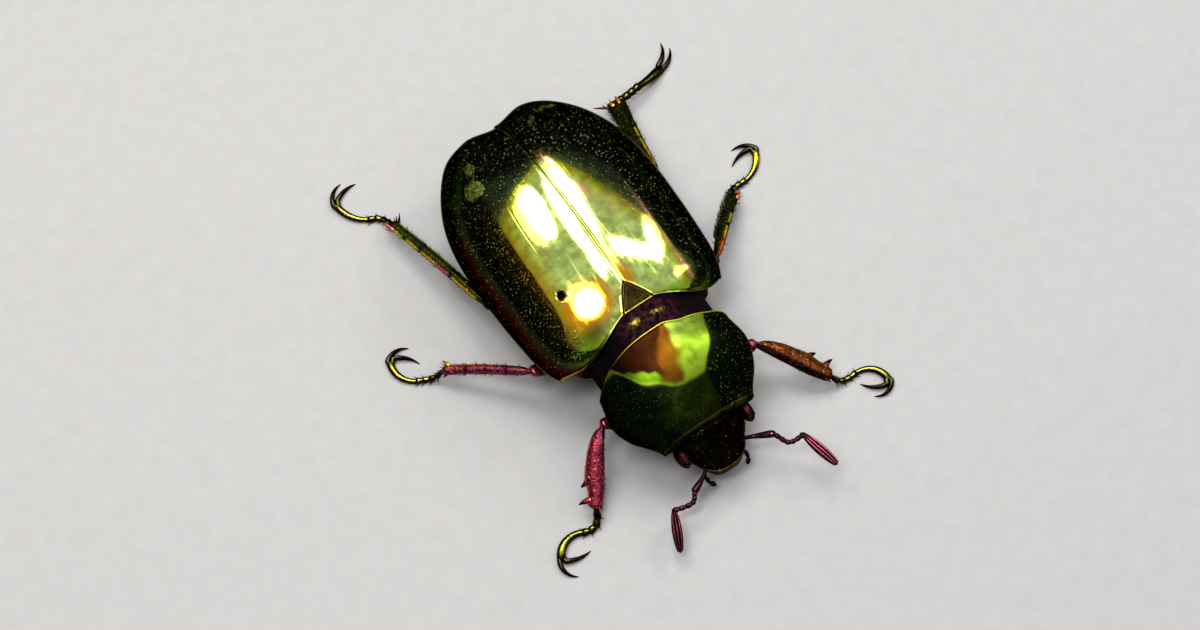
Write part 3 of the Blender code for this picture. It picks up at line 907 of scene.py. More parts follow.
class Palette:
    """Every finish of the beetle."""

    case = GildedFinish("wing_case_gold")
    shield = GildedFinish(
        "neck_shield_gold", pale=(0.3, 0.45, 0.055), field=(0.25, 0.4, 0.022), gold=(0.16, 0.24, 0.012),
        amber=(0.12, 0.034, 0.002), lime=(0.11, 0.22, 0.005), brown=(0.011, 0.003, 0.002),
        rust=(0.03, 0.008, 0.002), flank=(0.005, 0.009, 0.003), olive=(0.026, 0.042, 0.005),
        trim=(0.5, 0.48, 0.03), spark=(0.46, 0.5, 0.16), roughness=0.42,
    )
    scutellum = ShellFinish(
        "scutellum_brown", (0.04, 0.026, 0.006), (0.018, 0.01, 0.004),
        (0.42, 0.44, 0.05), (0.012, 0.007, 0.003),
        roughness=0.3, glints=0.05,
    )
    waist = ShellFinish(
        "waist_umber", (0.007, 0.002, 0.003), (0.004, 0.001, 0.002),
        (0.75, 0.56, 0.04), (0.002, 0.001, 0.001),
        roughness=0.5, glints=0.1,
    )
    head = ShellFinish(
        "head_bronze", (0.007, 0.006, 0.002), (0.004, 0.003, 0.002),
        (0.3, 0.16, 0.05), (0.002, 0.002, 0.001),
        roughness=0.3, cells=6.0, glints=0.4, depth=0.03,
    )
    eye = ShellFinish(
        "eye_garnet", (0.066, 0.015, 0.018), (0.014, 0.004, 0.004), (0.28, 0.07, 0.06), (0.006, 0.002, 0.002),
        roughness=0.3, cells=8.0, glints=0.35, depth=0.015,
    )
    feeler = ShellFinish(
        "feeler_plum", (0.05, 0.013, 0.019), (0.018, 0.006, 0.009),
        (0.62, 0.26, 0.28), (0.012, 0.004, 0.006),
        roughness=0.26, cells=9.0, glints=0.35, depth=0.01, lined=True,
    )
    thigh = ShellFinish(
        "thigh_plum", (0.3, 0.055, 0.07), (0.1, 0.02, 0.03), (0.8, 0.3, 0.16), (0.03, 0.008, 0.014),
        cells=6.5, lined=True,
    )
    dark_thigh = ShellFinish(
        "thigh_olive", (0.035, 0.042, 0.007), (0.014, 0.013, 0.005),
        (0.55, 0.36, 0.05), (0.008, 0.008, 0.003),
        roughness=0.26, cells=5.0, lined=True,
    )
    plum = ShellFinish(
        "shin_plum", (0.29, 0.045, 0.13), (0.17, 0.026, 0.065), (0.8, 0.32, 0.24), (0.05, 0.01, 0.022),
        roughness=0.26, cells=5.5, second=(0.75, 0.15, 0.04), lined=True,
    )
    copper = ShellFinish(
        "shin_copper", (0.32, 0.08, 0.02), (0.13, 0.032, 0.012), (0.9, 0.36, 0.08), (0.03, 0.008, 0.006),
        cells=5.2, glints=1.0, depth=0.045, under=0.95, second=(0.1, 0.1, 0.01), lined=True,
    )
    rose = ShellFinish(
        "shin_rose", (0.48, 0.05, 0.075), (0.25, 0.03, 0.065), (1.0, 0.34, 0.16), (0.05, 0.008, 0.03),
        cells=5.2, glints=1.0, depth=0.045, under=0.95, second=(0.62, 0.13, 0.02), lined=True,
    )
    olive = ShellFinish(
        "shin_olive", (0.05, 0.062, 0.008), (0.018, 0.02, 0.005), (0.4, 0.42, 0.05), (0.01, 0.01, 0.003),
        roughness=0.24, cells=5.0, glints=0.3, under=0.9, second=(0.42, 0.085, 0.02), lined=True,
    )
    foot = ShellFinish(
        "foot_green", (0.026, 0.028, 0.005), (0.012, 0.008, 0.004), (0.6, 0.6, 0.1), (0.007, 0.005, 0.003),
        roughness=0.15, cells=4.0, glints=0.15, under=0.9, depth=0.012, lined=True,
    )
    claw = ShellFinish(
        "claw_black", (0.016, 0.008, 0.008), (0.008, 0.004, 0.005), (0.16, 0.18, 0.06), (0.004, 0.003, 0.003),
        roughness=0.14, cells=4.0, glints=0.1, under=0.5, depth=0.008,
    )
    breast = ShellFinish(
        "breast_bronze", (0.055, 0.02, 0.012), (0.022, 0.011, 0.006),
        (0.45, 0.26, 0.07), (0.01, 0.005, 0.004),
        roughness=0.34, cells=4.5, glints=0.4,
    )
    belly = ShellFinish(
        "belly_olive", (0.055, 0.06, 0.009), (0.022, 0.022, 0.005),
        (0.45, 0.38, 0.08), (0.012, 0.01, 0.004),
        roughness=0.3, cells=4.5, glints=0.4,
    )
    fuzz = FuzzFinish("fuzz_umber", (0.004, 0.0012, 0.0025), (0.062, 0.015, 0.029))


# ---- back plates


@dataclass(frozen=True)
class CaseForm:
    """The outline and vault of the two closed wing cases."""

    half_width: float = 7.15
    widest_y: float = 3.7
    front_reach: float = 8.45
    rear_reach: float = 9.75
    front_power: float = 6.5
    rear_power: float = 2.5
    shoulder_taper: float = 0.5
    base_bulge: float = 0.75
    ridge_z: float = 9.35
    base_drop: float = 0.95
    section: Two = (2.3, 1.9)
    rim: Two = (4.8, 4.25)
    base_y: float = -3.45
    apex_y: float = 13.44
    turns: Two = (47.0, 179.2)
    shoulder_power: float = 1.5
    bulge_powers: Two = (1.3, 8.0)
    ridge_powers: Two = (2.5, 2.1)
    scutellum_half_width: float = 1.15
    scutellum_power: float = 0.8
    scutellum_tip_y: float = -1.7

    def half_width_at(self, y: Array) -> Array:
        """Half width of the closed cases.

        Args:
            y: places along the body.

        Returns:
            The half width at each place.
        """
        front = np.clip((self.widest_y - y) / self.front_reach, 0, 1)
        rear = np.clip((y - self.widest_y) / self.rear_reach, 0, 1)
        ahead = self.half_width - self.shoulder_taper * front**self.shoulder_power
        ahead = ahead * (1 - front**self.front_power) ** (1 / self.front_power)
        behind = self.half_width * (1 - rear**self.rear_power) ** (1 / self.rear_power)
        return np.where(y < self.widest_y, ahead, behind)

    def rim_at(self, y: Array) -> Array:
        """Height of the side rim at y."""
        return between(self.rim, share_of(self.base_y, self.apex_y, y))

    def rise_at(self, y: Array) -> Array:
        """Rise of the middle line over the rim.

        Args:
            y: places along the body.

        Returns:
            The rise at each place.
        """
        full = self.ridge_z - float(self.rim_at(np.array(self.widest_y)))
        front = np.clip((self.widest_y - y) / (self.widest_y - self.base_y), 0, 2)
        rear = np.clip((y - self.widest_y) / self.rear_reach, 0, 1)
        behind = full * (1 - rear ** self.ridge_powers[0]) ** (1 / self.ridge_powers[1])
        return np.where(y < self.widest_y, full - self.base_drop * front**2, behind)

    def height(self, x: Array, y: Array, inset: float = 0.0) -> Array:
        """Height of the cases, or of a surface that lies so far inside them."""
        wide = np.maximum(self.half_width_at(y) - inset, 0.05)
        return self.rim_at(y) + np.maximum(self.rise_at(y) - inset, 0.0) * vault(x / wide, self.section)

    def plan(self, s: Array, a: Array, gap: float, inset: Values) -> tuple[Array, Array]:
        """Plan position in a wing case.

        Args:
            s: share of the way from base to tip.
            a: share of the way from the suture to the rim.
            gap: clear distance from the middle line.
            inset: how far inside the outline.

        Returns:
            X on the left side, and Y.
        """
        inner_y = self.base_y + inset + (self.apex_y - self.base_y - 2 * inset) * s
        beside = np.maximum((self.scutellum_tip_y - inner_y) / (self.scutellum_tip_y - self.base_y), 0)
        inner_x = gap + self.scutellum_half_width * beside**self.scutellum_power
        turn = np.radians(between(self.turns, s))
        front = turn < math.pi / 2
        power = np.where(front, self.front_power, self.rear_power)
        reach = np.where(front, self.front_reach, self.rear_reach) - inset
        cosine = np.cos(turn)
        outer_y = self.widest_y - np.sign(cosine) * np.abs(cosine) ** (2 / power) * reach
        ahead = np.maximum(self.widest_y - outer_y, 0) / self.front_reach
        outer_x = self.half_width - self.shoulder_taper * ahead**self.shoulder_power - inset
        outer_x = outer_x * np.sin(turn) ** (2 / power)
        bulge = self.base_bulge * arch(a ** self.bulge_powers[0]) * (1 - s) ** self.bulge_powers[1]
        return inner_x + (outer_x - inner_x) * a, inner_y + (outer_y - inner_y) * a - bulge


@dataclass
class WingCases:
    """The two wing cases: thin domed shells with a beaded suture, fine lines, calli and a pin hole."""

    finish: Material
    form: CaseForm = CaseForm()
    rows: int = 230
    columns: int = 150
    gap: float = 0.035
    thickness: float = 0.42
    sunk: float = 0.02
    suture_bead: Two = (0.11, 0.012)
    rim_bead: Two = (0.16, 0.045)
    line_shares: Row = (0.055, 0.13, 0.22, 0.31, 0.385, 0.46, 0.55, 0.64, 0.73)
    line_depth: float = 0.0005
    line_width: float = 0.05
    marked_line: float = 0.46
    valley: Two = (0.34, 0.009)
    marked_depth: float = 0.005
    swellings: Patches = (
        Patch("relief", 0.16, (5.15, -3.0), (0.95, 1.15), -20),
        Patch("relief", 0.14, (3.9, 9.6), (1.2, 1.3), 25),
    )
    pin_hole: Two = (-3.62, -0.21)
    pin_radius: float = 0.25
    pin_depth: float = 0.7
    pin_lip: float = 0.006
    # middle and radii of the painted amber fringe round the round lamp's highlight
    ring_middle: Two = (-2.55, -1.6)
    ring_radii: Two = (1.0, 0.95)
    # the outline of the painted lit field on each case, and how fast painted shade darkens outside it
    polish_from: Two = (-3.8, 8.6)
    polish: tuple[Row, ...] = (
        (3.5, 3.85, 3.95, 3.1, 2.25, 1.45, 0.35), (3.6, 4.25, 4.28, 4.2, 4.1, 3.1, -1.5),
    )
    polish_fade: Two = (0.26, 0.15)
    polish_tilt: float = 0.22
    polish_end: Two = (1.2, 8.3)
    tongue_reach: float = 0.06
    tongue_depth: float = 0.09
    tongue_thickness: float = 0.15
    tongue_end: float = 12.3
    tip_shift: Two = (-0.4, -0.5)
    lobe_at: tuple[Two, Two] = ((2.8, 12.3), (4.3, 11.3))
    lobe_reach: Two = (1.7, 1.8)
    lobe_push: tuple[Two, Two] = ((0.0, 0.22), (0.38, 0.52))
    right_patches: Patches = (
        Patch("warm", 0.45, (-4.4, 1.2), (0.6, 3.8)),
        Patch("rosy", 1.0, (-2.8, 5.9), (0.5, 0.8)),
        Patch("rosy", 0.8, (-3.05, 2.6), (0.5, 0.6)),
        Patch("brown", 0.85, (-3.3, -3.35), (1.1, 0.55), 15),
        Patch("brown", 0.5, (-1.6, -3.3), (0.5, 0.3)),
        Patch("lime", 1.0, (-4.2, -4.0), (0.9, 0.7)),
        Patch("chalk", 1.0, (-4.08, 8.83), (0.8, 0.7)),
        Patch("chalk", 0.8, (-3.6, 10.14), (0.55, 0.6)),
    )
    left_patches: Patches = (
        Patch("warm", 1.3, (0.35, -1.45), (0.45, 0.8)),
        Patch("warm", 0.6, (0.15, -0.2), (0.2, 1.6)),
        Patch("rosy", 1.0, (1.05, 5.2), (0.4, 0.9), 20),
        Patch("rosy", 1.0, (2.45, 2.6), (0.5, 1.6), 28),
        Patch("rosy", 1.0, (0.5, 7.7), (0.4, 0.7)),
        Patch("rosy", 1.0, (4.0, -0.8), (0.16, 2.6)),
        Patch("lime", 1.0, (2.4, -3.75), (1.6, 0.4), -12),
        Patch("chalk", 0.62, (3.2, 11.4), (1.3, 0.5)),
        Patch("chalk", 0.6, (1.5, 10.8), (0.9, 0.6)),
        Patch("chalk", 0.5, (3.0, 9.4), (1.6, 0.5)),
    )

    def warped(self, side: Side, points: Array) -> Array:
        """A case with its hind end as it lies: the right one shorter at the suture, the left one fuller.

        Args:
            side: which case.
            points: its points as the form gives them.

        Returns:
            The moved points.
        """
        x, y = np.abs(points[..., 0]), points[..., 1]
        which = side.place
        lobe = blob(x, y, self.lobe_at[which], self.lobe_reach) * rise(7.5, 9.5, y)
        moved = points.copy()
        moved[..., 0] += self.lobe_push[which][0] * lobe
        moved[..., 1] += self.tip_shift[which] * rise(9.5, 13.2, y) * rise(2.3, 0.1, x)
        moved[..., 1] += self.lobe_push[which][1] * lobe
        return moved

    def relief(self, side: Side, a: Array, top: Array) -> tuple[Array, Array, Array]:
        """Fine relief along the normals: beads, the dip beside the suture, lines, swellings and pin hole.

        Args:
            side: which case.
            a: shares from suture to rim.
            top: the plain surface's points.

        Returns:
            The relief, the distance from the suture and the distance from the rest of the rim.
        """
        x, y = top[..., 0], top[..., 1]
        from_suture = travel(top, 1)
        ends = to_ends(top, 0)
        edge = np.minimum(from_suture[:, -1:] - from_suture, ends)
        away = rise(0.4, 1.2, ends)
        made = bead(from_suture, *self.suture_bead) + bead(edge, *self.rim_bead) - self.sunk
        dip = from_suture / self.valley[0]
        made = made - self.valley[1] * dip * np.exp(1 - dip) * away * rise(7.6, 6.2, y)
        for k, share in enumerate(self.line_shares):
            depth = self.line_depth * (0.6 if k % 2 else 1.0) * away
            if side is Side.RIGHT and share == self.marked_line:
                depth = depth + self.marked_depth * span((-0.2, 0.2), (7.2, 5.6), y)
            made = made - depth * bell((a - share) * self.form.half_width, 0.0, self.line_width)
        for swelling in self.swellings:
            made = made + swelling.on(x * side.value, y)
        if side is Side.RIGHT:
            reach = np.hypot(x - self.pin_hole[0], y - self.pin_hole[1])
            made = made - self.pin_depth * rise(self.pin_radius + 0.05, self.pin_radius - 0.05, reach)
            made = made + self.pin_lip * bell(reach, self.pin_radius + 0.1, 0.08)
        return made, from_suture, edge

    def marks(self, side: Side, top: Array, from_suture: Array, edge: Array) -> Marks:
        """The marks that the finish reads; one that is left out reads as 0.

        Args:
            side: which case.
            top: the plain surface's points.
            from_suture: distance from the suture.
            edge: distance from the rest of the rim.

        Returns:
            The marks, one value for each point.
        """
        x, y = top[..., 0], top[..., 1]
        marks: Marks = {}
        for patch in (self.left_patches, self.right_patches)[side.place]:
            marks[patch.mark] = marks.get(patch.mark, 0.0) + patch.on(x, y)
        # painted light: pale inside the lit outline, painted shade growing outside it
        outside = x * side.value - eased(self.polish[side.place], share_of(*self.polish_from, y))
        outside = np.maximum(outside, self.polish_end[0] * (y - self.polish_end[1]))
        marks["bead"] = self.trim_mark(side, x * side.value, y, from_suture, edge)
        marks["tilt"] = np.clip(self.polish_tilt + self.polish_fade[side.place] * outside, 0, 1)
        marks["pitted"] = rise(-0.1, 1.3, outside)
        if side is Side.RIGHT:
            reach = np.hypot(x - self.pin_hole[0], y - self.pin_hole[1])
            # painted shade inside the pin hole
            marks["hole"] = rise(self.pin_radius + 0.06, self.pin_radius - 0.03, reach)
            # painted reflection: an amber fringe round the round lamp's highlight
            across, down = ((v - m) / r for v, m, r in zip((x, y), self.ring_middle, self.ring_radii))
            marks["warm"] = marks["warm"] + span((0.75, 1.0), (2.1, 1.15), np.hypot(across, down))
            # painted sheen: dark red on the steep front of the right flank
            steep = np.degrees(np.arccos(np.clip(normals(top)[..., 2], -1, 1))) / 90
            marks["rust"] = rise(0.52, 0.74, steep) * rise(9.5, 6.0, y)
        for name in ("warm", "rosy"):
            marks[name] = np.clip(marks[name], 0, 1)
        return marks

    @staticmethod
    def trim_mark(side: Side, x: Array, y: Array, from_suture: Array, edge: Array) -> Array:
        """Painted highlight on the beads: how bright they are along the suture and round the rim.

        Args:
            side: which case.
            x: places from the middle line outward.
            y: places along the body.
            from_suture: distance from the suture.
            edge: distance from the rest of the rim.

        Returns:
            The mark at each place.
        """
        if side is Side.LEFT:
            along = 0.35 * rise(9.5, 3.0, y) + 0.5 * rise(2.0, -1.0, y)
            base = rise(4.0, 3.0, x)
            flank = 0.75 * rise(4.5, 2.5, y) * rise(5.6, 6.2, x)
        else:
            along = 0.15 + 0.75 * rise(-1.2, -1.8, y)
            base = rise(2.3, 1.2, x)
            flank = rise(1.0, -0.5, y) * rise(4.4, 4.9, x)
        base = 0.8 * rise(-1.2, -1.5, y) * base
        around = rise(0.14, 0.09, edge) * np.maximum(np.maximum(base, flank), 0.06)
        return np.maximum(rise(0.13, 0.09, from_suture) * along, around)

    def build_tongue(self) -> None:
        """Makes the thin tongue that closes the slit between the cases, a near-black sheet of painted shade.
        """
        y = np.linspace(self.form.scutellum_tip_y, self.tongue_end, 120)[:, None]
        x = self.tongue_reach * np.linspace(-1, 1, 5)[None, :] + 0 * y
        top = self.warped(Side.RIGHT, joined(x, y, self.form.height(x, y) - self.tongue_depth))
        piece = Piece("suture_tongue")
        piece.slab(top, top - np.array([0, 0, self.tongue_thickness]), hole=np.ones_like(x))
        piece.build(self.finish, "wing_case")

    def build(self) -> None:
        """Makes both wing cases and the tongue between them."""
        self.build_tongue()
        for side in Side:
            s = spaced(self.rows, (0.0, 1.0), 3.0, 0.03)[:, None]
            a = spaced(self.columns, (0.0, *self.line_shares, 1.0), 4.0, 0.012)[None, :]
            x, y = self.form.plan(s, a, self.gap, 0.0)
            top = joined(x * side.value, y, self.form.height(x, y))
            relief, from_suture, edge = self.relief(side, a, top)
            marks = self.marks(side, top, from_suture, edge)
            x, y = self.form.plan(s, a, self.gap, self.thickness * a)
            under = joined(x * side.value, y, self.form.height(x, y, self.thickness) - 0.1 * a)
            top = top + normals(top) * relief[..., None]
            piece = Piece("wing_case_" + side.word)
            piece.slab(self.warped(side, top), self.warped(side, under), **marks)
            piece.build(self.finish, "wing_case", "elytron_" + side.word)


@dataclass
class NeckShield:
    """The domed shield over the first ring of the thorax, with beaded edges."""

    finish: Material
    half_widths: Row = (4.9, 5.2, 4.7, 3.45)
    rear_y: float = -5.1
    rear_sweep: float = 1.15
    front_y: float = -11.35
    front_sweep: float = 0.1
    top_z: Row = (8.5, 8.8, 8.05, 6.0)
    rim_z: Row = (4.9, 4.45, 4.2, 4.15)
    skirt: float = 0.35
    rows: int = 150
    columns: int = 220
    bead_size: Two = (0.11, 0.04)
    sunk: float = 0.02
    under_share: float = 0.97
    skirt_arch: float = 0.25
    dimples: Patch = Patch("relief", -0.12, (3.9, -7.4), (0.5, 0.6))
    # lit_y to lit_front outline the painted lit patch; band_y to band_half place the amber band in it
    lit_y: Two = (-5.7, -9.3)
    lit_side: Row = (3.05, 2.78, 2.56, 2.2, 1.5, 0.9)
    lit_x: Two = (-3.7, 1.7)
    lit_front: Row = (-5.7, -7.55, -8.2, -8.9, -9.08, -9.1, -9.0)
    band_y: Two = (-5.3, -9.1)
    band_middle: Row = (0.38, -0.2, -0.55, -0.78, -0.92)
    band_half: Row = (0.26, 0.62, 0.88, 0.72, 0.5)
    # calm dims the painted light near the front
    calm: Patch = Patch("tilt", 1.8, (-0.3, -9.9), (1.9, 1.1))
    rust_spot: Patch = Patch("rust", 0.85, (-2.25, -6.3), (0.75, 0.55), 20)
    rosy_line: Patch = Patch("rosy", 0.9, (0.0, -6.6), (0.1, 0.8))

    def rear_at(self, x: Array) -> Array:
        """Y of the hind edge, which lies a little further forward on the left."""
        shift = 0.38 * span((0.4, 1.8), (4.9, 3.2), x)
        return self.rear_y - self.rear_sweep * np.abs(x / self.half_widths[0]) ** 3 - shift

    def surface(self, s: Array, a: Array) -> Array:
        """Points of the shield.

        Args:
            s: shares from the hind edge to the front.
            a: shares from -1 on the right to 1 on the left.

        Returns:
            A grid of points.
        """
        x = a * eased(self.half_widths, s)
        rear = self.rear_at(x)
        front = self.front_y + self.front_sweep * (x / self.half_widths[-1]) ** 2
        low = eased(self.rim_z, s) + 0 * a
        return joined(x, rear + (front - rear) * s, low + (eased(self.top_z, s) - low) * vault(a, (2.4, 2.0)))

    def marks(self, x: Array, y: Array, edge: Array, ahead: Array) -> Marks:
        """The marks that the finish reads; one that is left out reads as 0.

        Args:
            x: places across.
            y: places along.
            edge: distance from the rim.
            ahead: distance from the hind edge.

        Returns:
            The marks, one value for each point.
        """
        # painted light: pale in the lit patch and painted shade outside it, with lime and amber in the lit
        # patch and brown as painted dark reflection
        beside = x - eased(self.lit_side, share_of(*self.lit_y, y))
        before = eased(self.lit_front, share_of(*self.lit_x, x)) - y
        dim = 0.24 * np.minimum(1.0, self.calm.on(x, y))
        front = np.minimum(1.1 * np.maximum(before, 0), 0.42 - dim)
        tone = 0.13 * rise(-5.6, -7.4, y) + np.maximum(1.5 * np.maximum(beside, 0), front)
        along = share_of(*self.band_y, y)
        waver = 0.1 * np.sin(2.6 * x + 3.7 * y) + 0.07 * np.sin(6.1 * x - 4.3 * y + 1.0)
        aside = (x - eased(self.band_middle, along)) / eased(self.band_half, along) + waver
        inside = rise(0.1, -0.25, before)
        above = 0.63 * (x + 3.61) + 0.77 * (y + 5.92) + waver
        lime = rise(-0.15, -0.5, above) * rise(-0.8, -1.3, aside) * inside
        brown = rise(-0.1, -1.1, aside) * rise(-0.55, -0.1, above) * inside
        # rim, hind, side and corner set the painted highlight on the beads
        rim = rise(0.12, 0.07, edge)
        hind = rise(0.5, 0.2, ahead) * rise(-4.4, 0.4, x)
        side = rise(3.2, 4.0, x) * rise(-6.6, -7.4, y)
        at_front = rise(-10.8, -11.1, y)
        corner = 0.15 * span((1.8, 2.1), (3.0, 2.6), x) * at_front
        broken = np.clip(0.5 + 0.6 * np.sin(5.2 * x) + 0.3 * np.sin(13.0 * x + 1.0), 0, 1)
        front_line = span((-1.6, 0.6), (2.0, 1.6), x) * at_front * broken
        # painted highlight: amber glints along the front rim and the front of the right side
        rim_glint = rise(0.09, 0.05, edge) * (front_line + rise(-3.0, -3.6, x) * rise(-8.4, -9.0, y))
        return {
            "bead": rim * np.clip(np.maximum(np.maximum(hind, side), corner), 0.02, 1),
            "tilt": np.clip(tone, 0, 1),
            "pitted": np.maximum(rise(0.0, 0.4, beside), 0.45 * rise(0.2, 0.8, before)),
            "warm": np.clip(span((-1.5, -1.1), (1.35, 0.6), aside) * inside + 0.7 * rim_glint, 0, 1),
            "brown": brown,
            "lime": lime,
            "rosy": self.rosy_line.on(beside, y),
            "rust": self.rust_spot.on(x, y),
        }

    def build(self) -> None:
        """Makes the shield."""
        s = spaced(self.rows, (0.0, 1.0), 5.0, 0.025)[:, None]
        a = fan(self.columns)
        top = self.surface(s, a)
        x, y = top[..., 0], top[..., 1]
        edge = np.minimum(to_ends(top, 1), to_ends(top, 0))
        marks = self.marks(x, y, edge, travel(top, 0))
        relief = (bead(edge, *self.bead_size) - self.sunk) * (0.3 + 0.7 * rise(-10.6, -9.6, y))
        relief = relief + self.dimples.on(np.abs(x), y)
        top = top + normals(top) * relief[..., None]
        low = self.surface(s, a * self.under_share)
        low[..., 2] = eased(self.rim_z, s) - self.skirt + self.skirt_arch * vault(a, (2.0, 1.0))
        piece = Piece("neck_shield")
        piece.slab(top, low, **marks)
        piece.build(self.finish, "neck_shield", "pronotum")


@dataclass
class Scutellum:
    """The small brown triangle between the bases of the wing cases, with a painted gold highlight on its
    edge.
    """

    finish: Material
    form: CaseForm = CaseForm()
    gap: float = 0.05
    sunk: float = 0.06
    tip_gap: float = 0.1
    thickness: float = 0.45
    bead_size: Two = (0.13, 0.04)
    hollow: Patch = Patch("relief", -0.05, (0, -2.9), (0.5, 0.5))

    def build(self) -> None:
        """Makes the scutellum."""
        s = spaced(60, (0.0,), 3.0, 0.05)[:, None]
        a = np.linspace(-1, 1, 61)[None, :]
        start = self.form.base_y
        end = self.form.scutellum_tip_y
        y = between((start, end - self.tip_gap), s) + 0 * a
        share = (end - y) / (end - start)
        wide = self.form.scutellum_half_width * share**self.form.scutellum_power
        reach = np.maximum(wide - self.gap, 0.03)
        x = reach * a
        top = joined(x, y, self.form.height(x, y) - self.sunk)
        edge = np.minimum((1 - np.abs(a)) * reach, travel(top, 0))
        top[..., 2] += bead(edge, *self.bead_size) + self.hollow.on(x, y)
        low = top - np.array([0, 0, self.thickness])
        piece = Piece("scutellum_plate")
        # painted highlight on the rim, strongest at the front end
        base = rise(0.2, 0.12, travel(top, 0))
        piece.slab(top, low, edge=np.maximum(0.8 * base, 0.1 * rise(0.17, 0.1, edge)))
        piece.build(self.finish, "scutellum", "scutellum")


@dataclass
class Waist:
    """The second ring of the thorax, bare between the back plates, with a short fuzz."""

    finish: Material
    fuzz: Material
    shield: NeckShield
    form: CaseForm = CaseForm()
    half_width: float = 4.4
    top_z: float = 8.28
    side_z: float = 5.1
    rear_y: float = -3.25
    tuck: float = 0.06
    spots: Patches = (
        Patch("edge", 1.1, (-0.82, 0.5), (0.5, 0.15)), Patch("edge", 1.1, (0.74, 0.46), (0.62, 0.1)),
    )
    bare: Patches = (
        Patch("bare", 1.0, (-0.82, 0.5), (0.5, 0.15)), Patch("bare", 1.0, (0.74, 0.46), (0.6, 0.1)),
    )
    hairs: int = 9000
    hair_length: float = 0.34
    hair_radius: float = 0.016
    hair_root: float = 0.03
    hair_bend: Place = (0.0, 0.0, 0.02)

    def surface(self, s: Array, a: Array) -> Array:
        """Points of the upper side.

        Args:
            s: shares from front to rear.
            a: shares from -1 on the right to 1 on the left.

        Returns:
            The points.
        """
        x = a * self.half_width
        front = self.shield.rear_at(x) - self.tuck
        z = between((self.side_z, self.top_z), vault(a, (2.2, 1.9))) - 0.25 * rise(0.3, 0.8, np.abs(a))
        ring = 0.1 * arch(s) - 0.08 * rise(0.8, 1.0, s)
        return joined(x, front + (self.rear_y - front) * s, z + ring)

    def build(self) -> None:
        """Makes the ring and its fuzz."""
        s = np.linspace(0, 1, 40)[:, None]
        a = fan(160)
        top = self.surface(s, a)
        x, y = top[..., 0], top[..., 1]
        low = joined(0.95 * x, y, 4.5 - 3.0 * vault(a, (1.8, 1.4)))
        # painted highlight: gold spots on the bare cuticle; painted shade darkens the sides
        gold = sum(spot.on(x, s) for spot in self.spots)
        collar = Piece("waist_ring")
        collar.slab(top, low, edge=np.clip(gold, 0, 1), dark=0.85 * rise(0.3, 0.62, np.abs(a) + 0 * s))
        collar.build(self.finish, "waist", "mesothorax")
        rng = np.random.default_rng(7)
        a = rng.uniform(-0.93, 0.93, self.hairs)
        s = rng.uniform(0.03, 0.97, self.hairs)
        x = a * self.half_width
        keep = sum(spot.on(x, s) for spot in self.bare) < rng.uniform(0.2, 1, self.hairs)
        a, s = a[keep], s[keep]
        roots = self.surface(s, a)
        reach = self.hair_length * rng.uniform(0.6, 1.2, len(a))
        aside = 0.35 * a + rng.normal(0, 0.22, len(a))
        way = unit(joined(aside, rng.normal(0.75, 0.2, len(a)), 0.42))
        skin = np.stack([0.5 + 0.45 * a, 0.1 + 0.8 * s], -1)
        hair = Piece("waist_fuzz")
        # painted shade darkens the fuzz towards the sides
        hair.spines(
            roots - self.hair_root * way, roots + way * reach[:, None], self.hair_radius, self.hair_bend,
            ring=3, steps=2, skin=skin, dark=0.9 * rise(0.25, 0.6, np.abs(a)),
        )
        hair.build(self.fuzz, "waist")


# ---- head


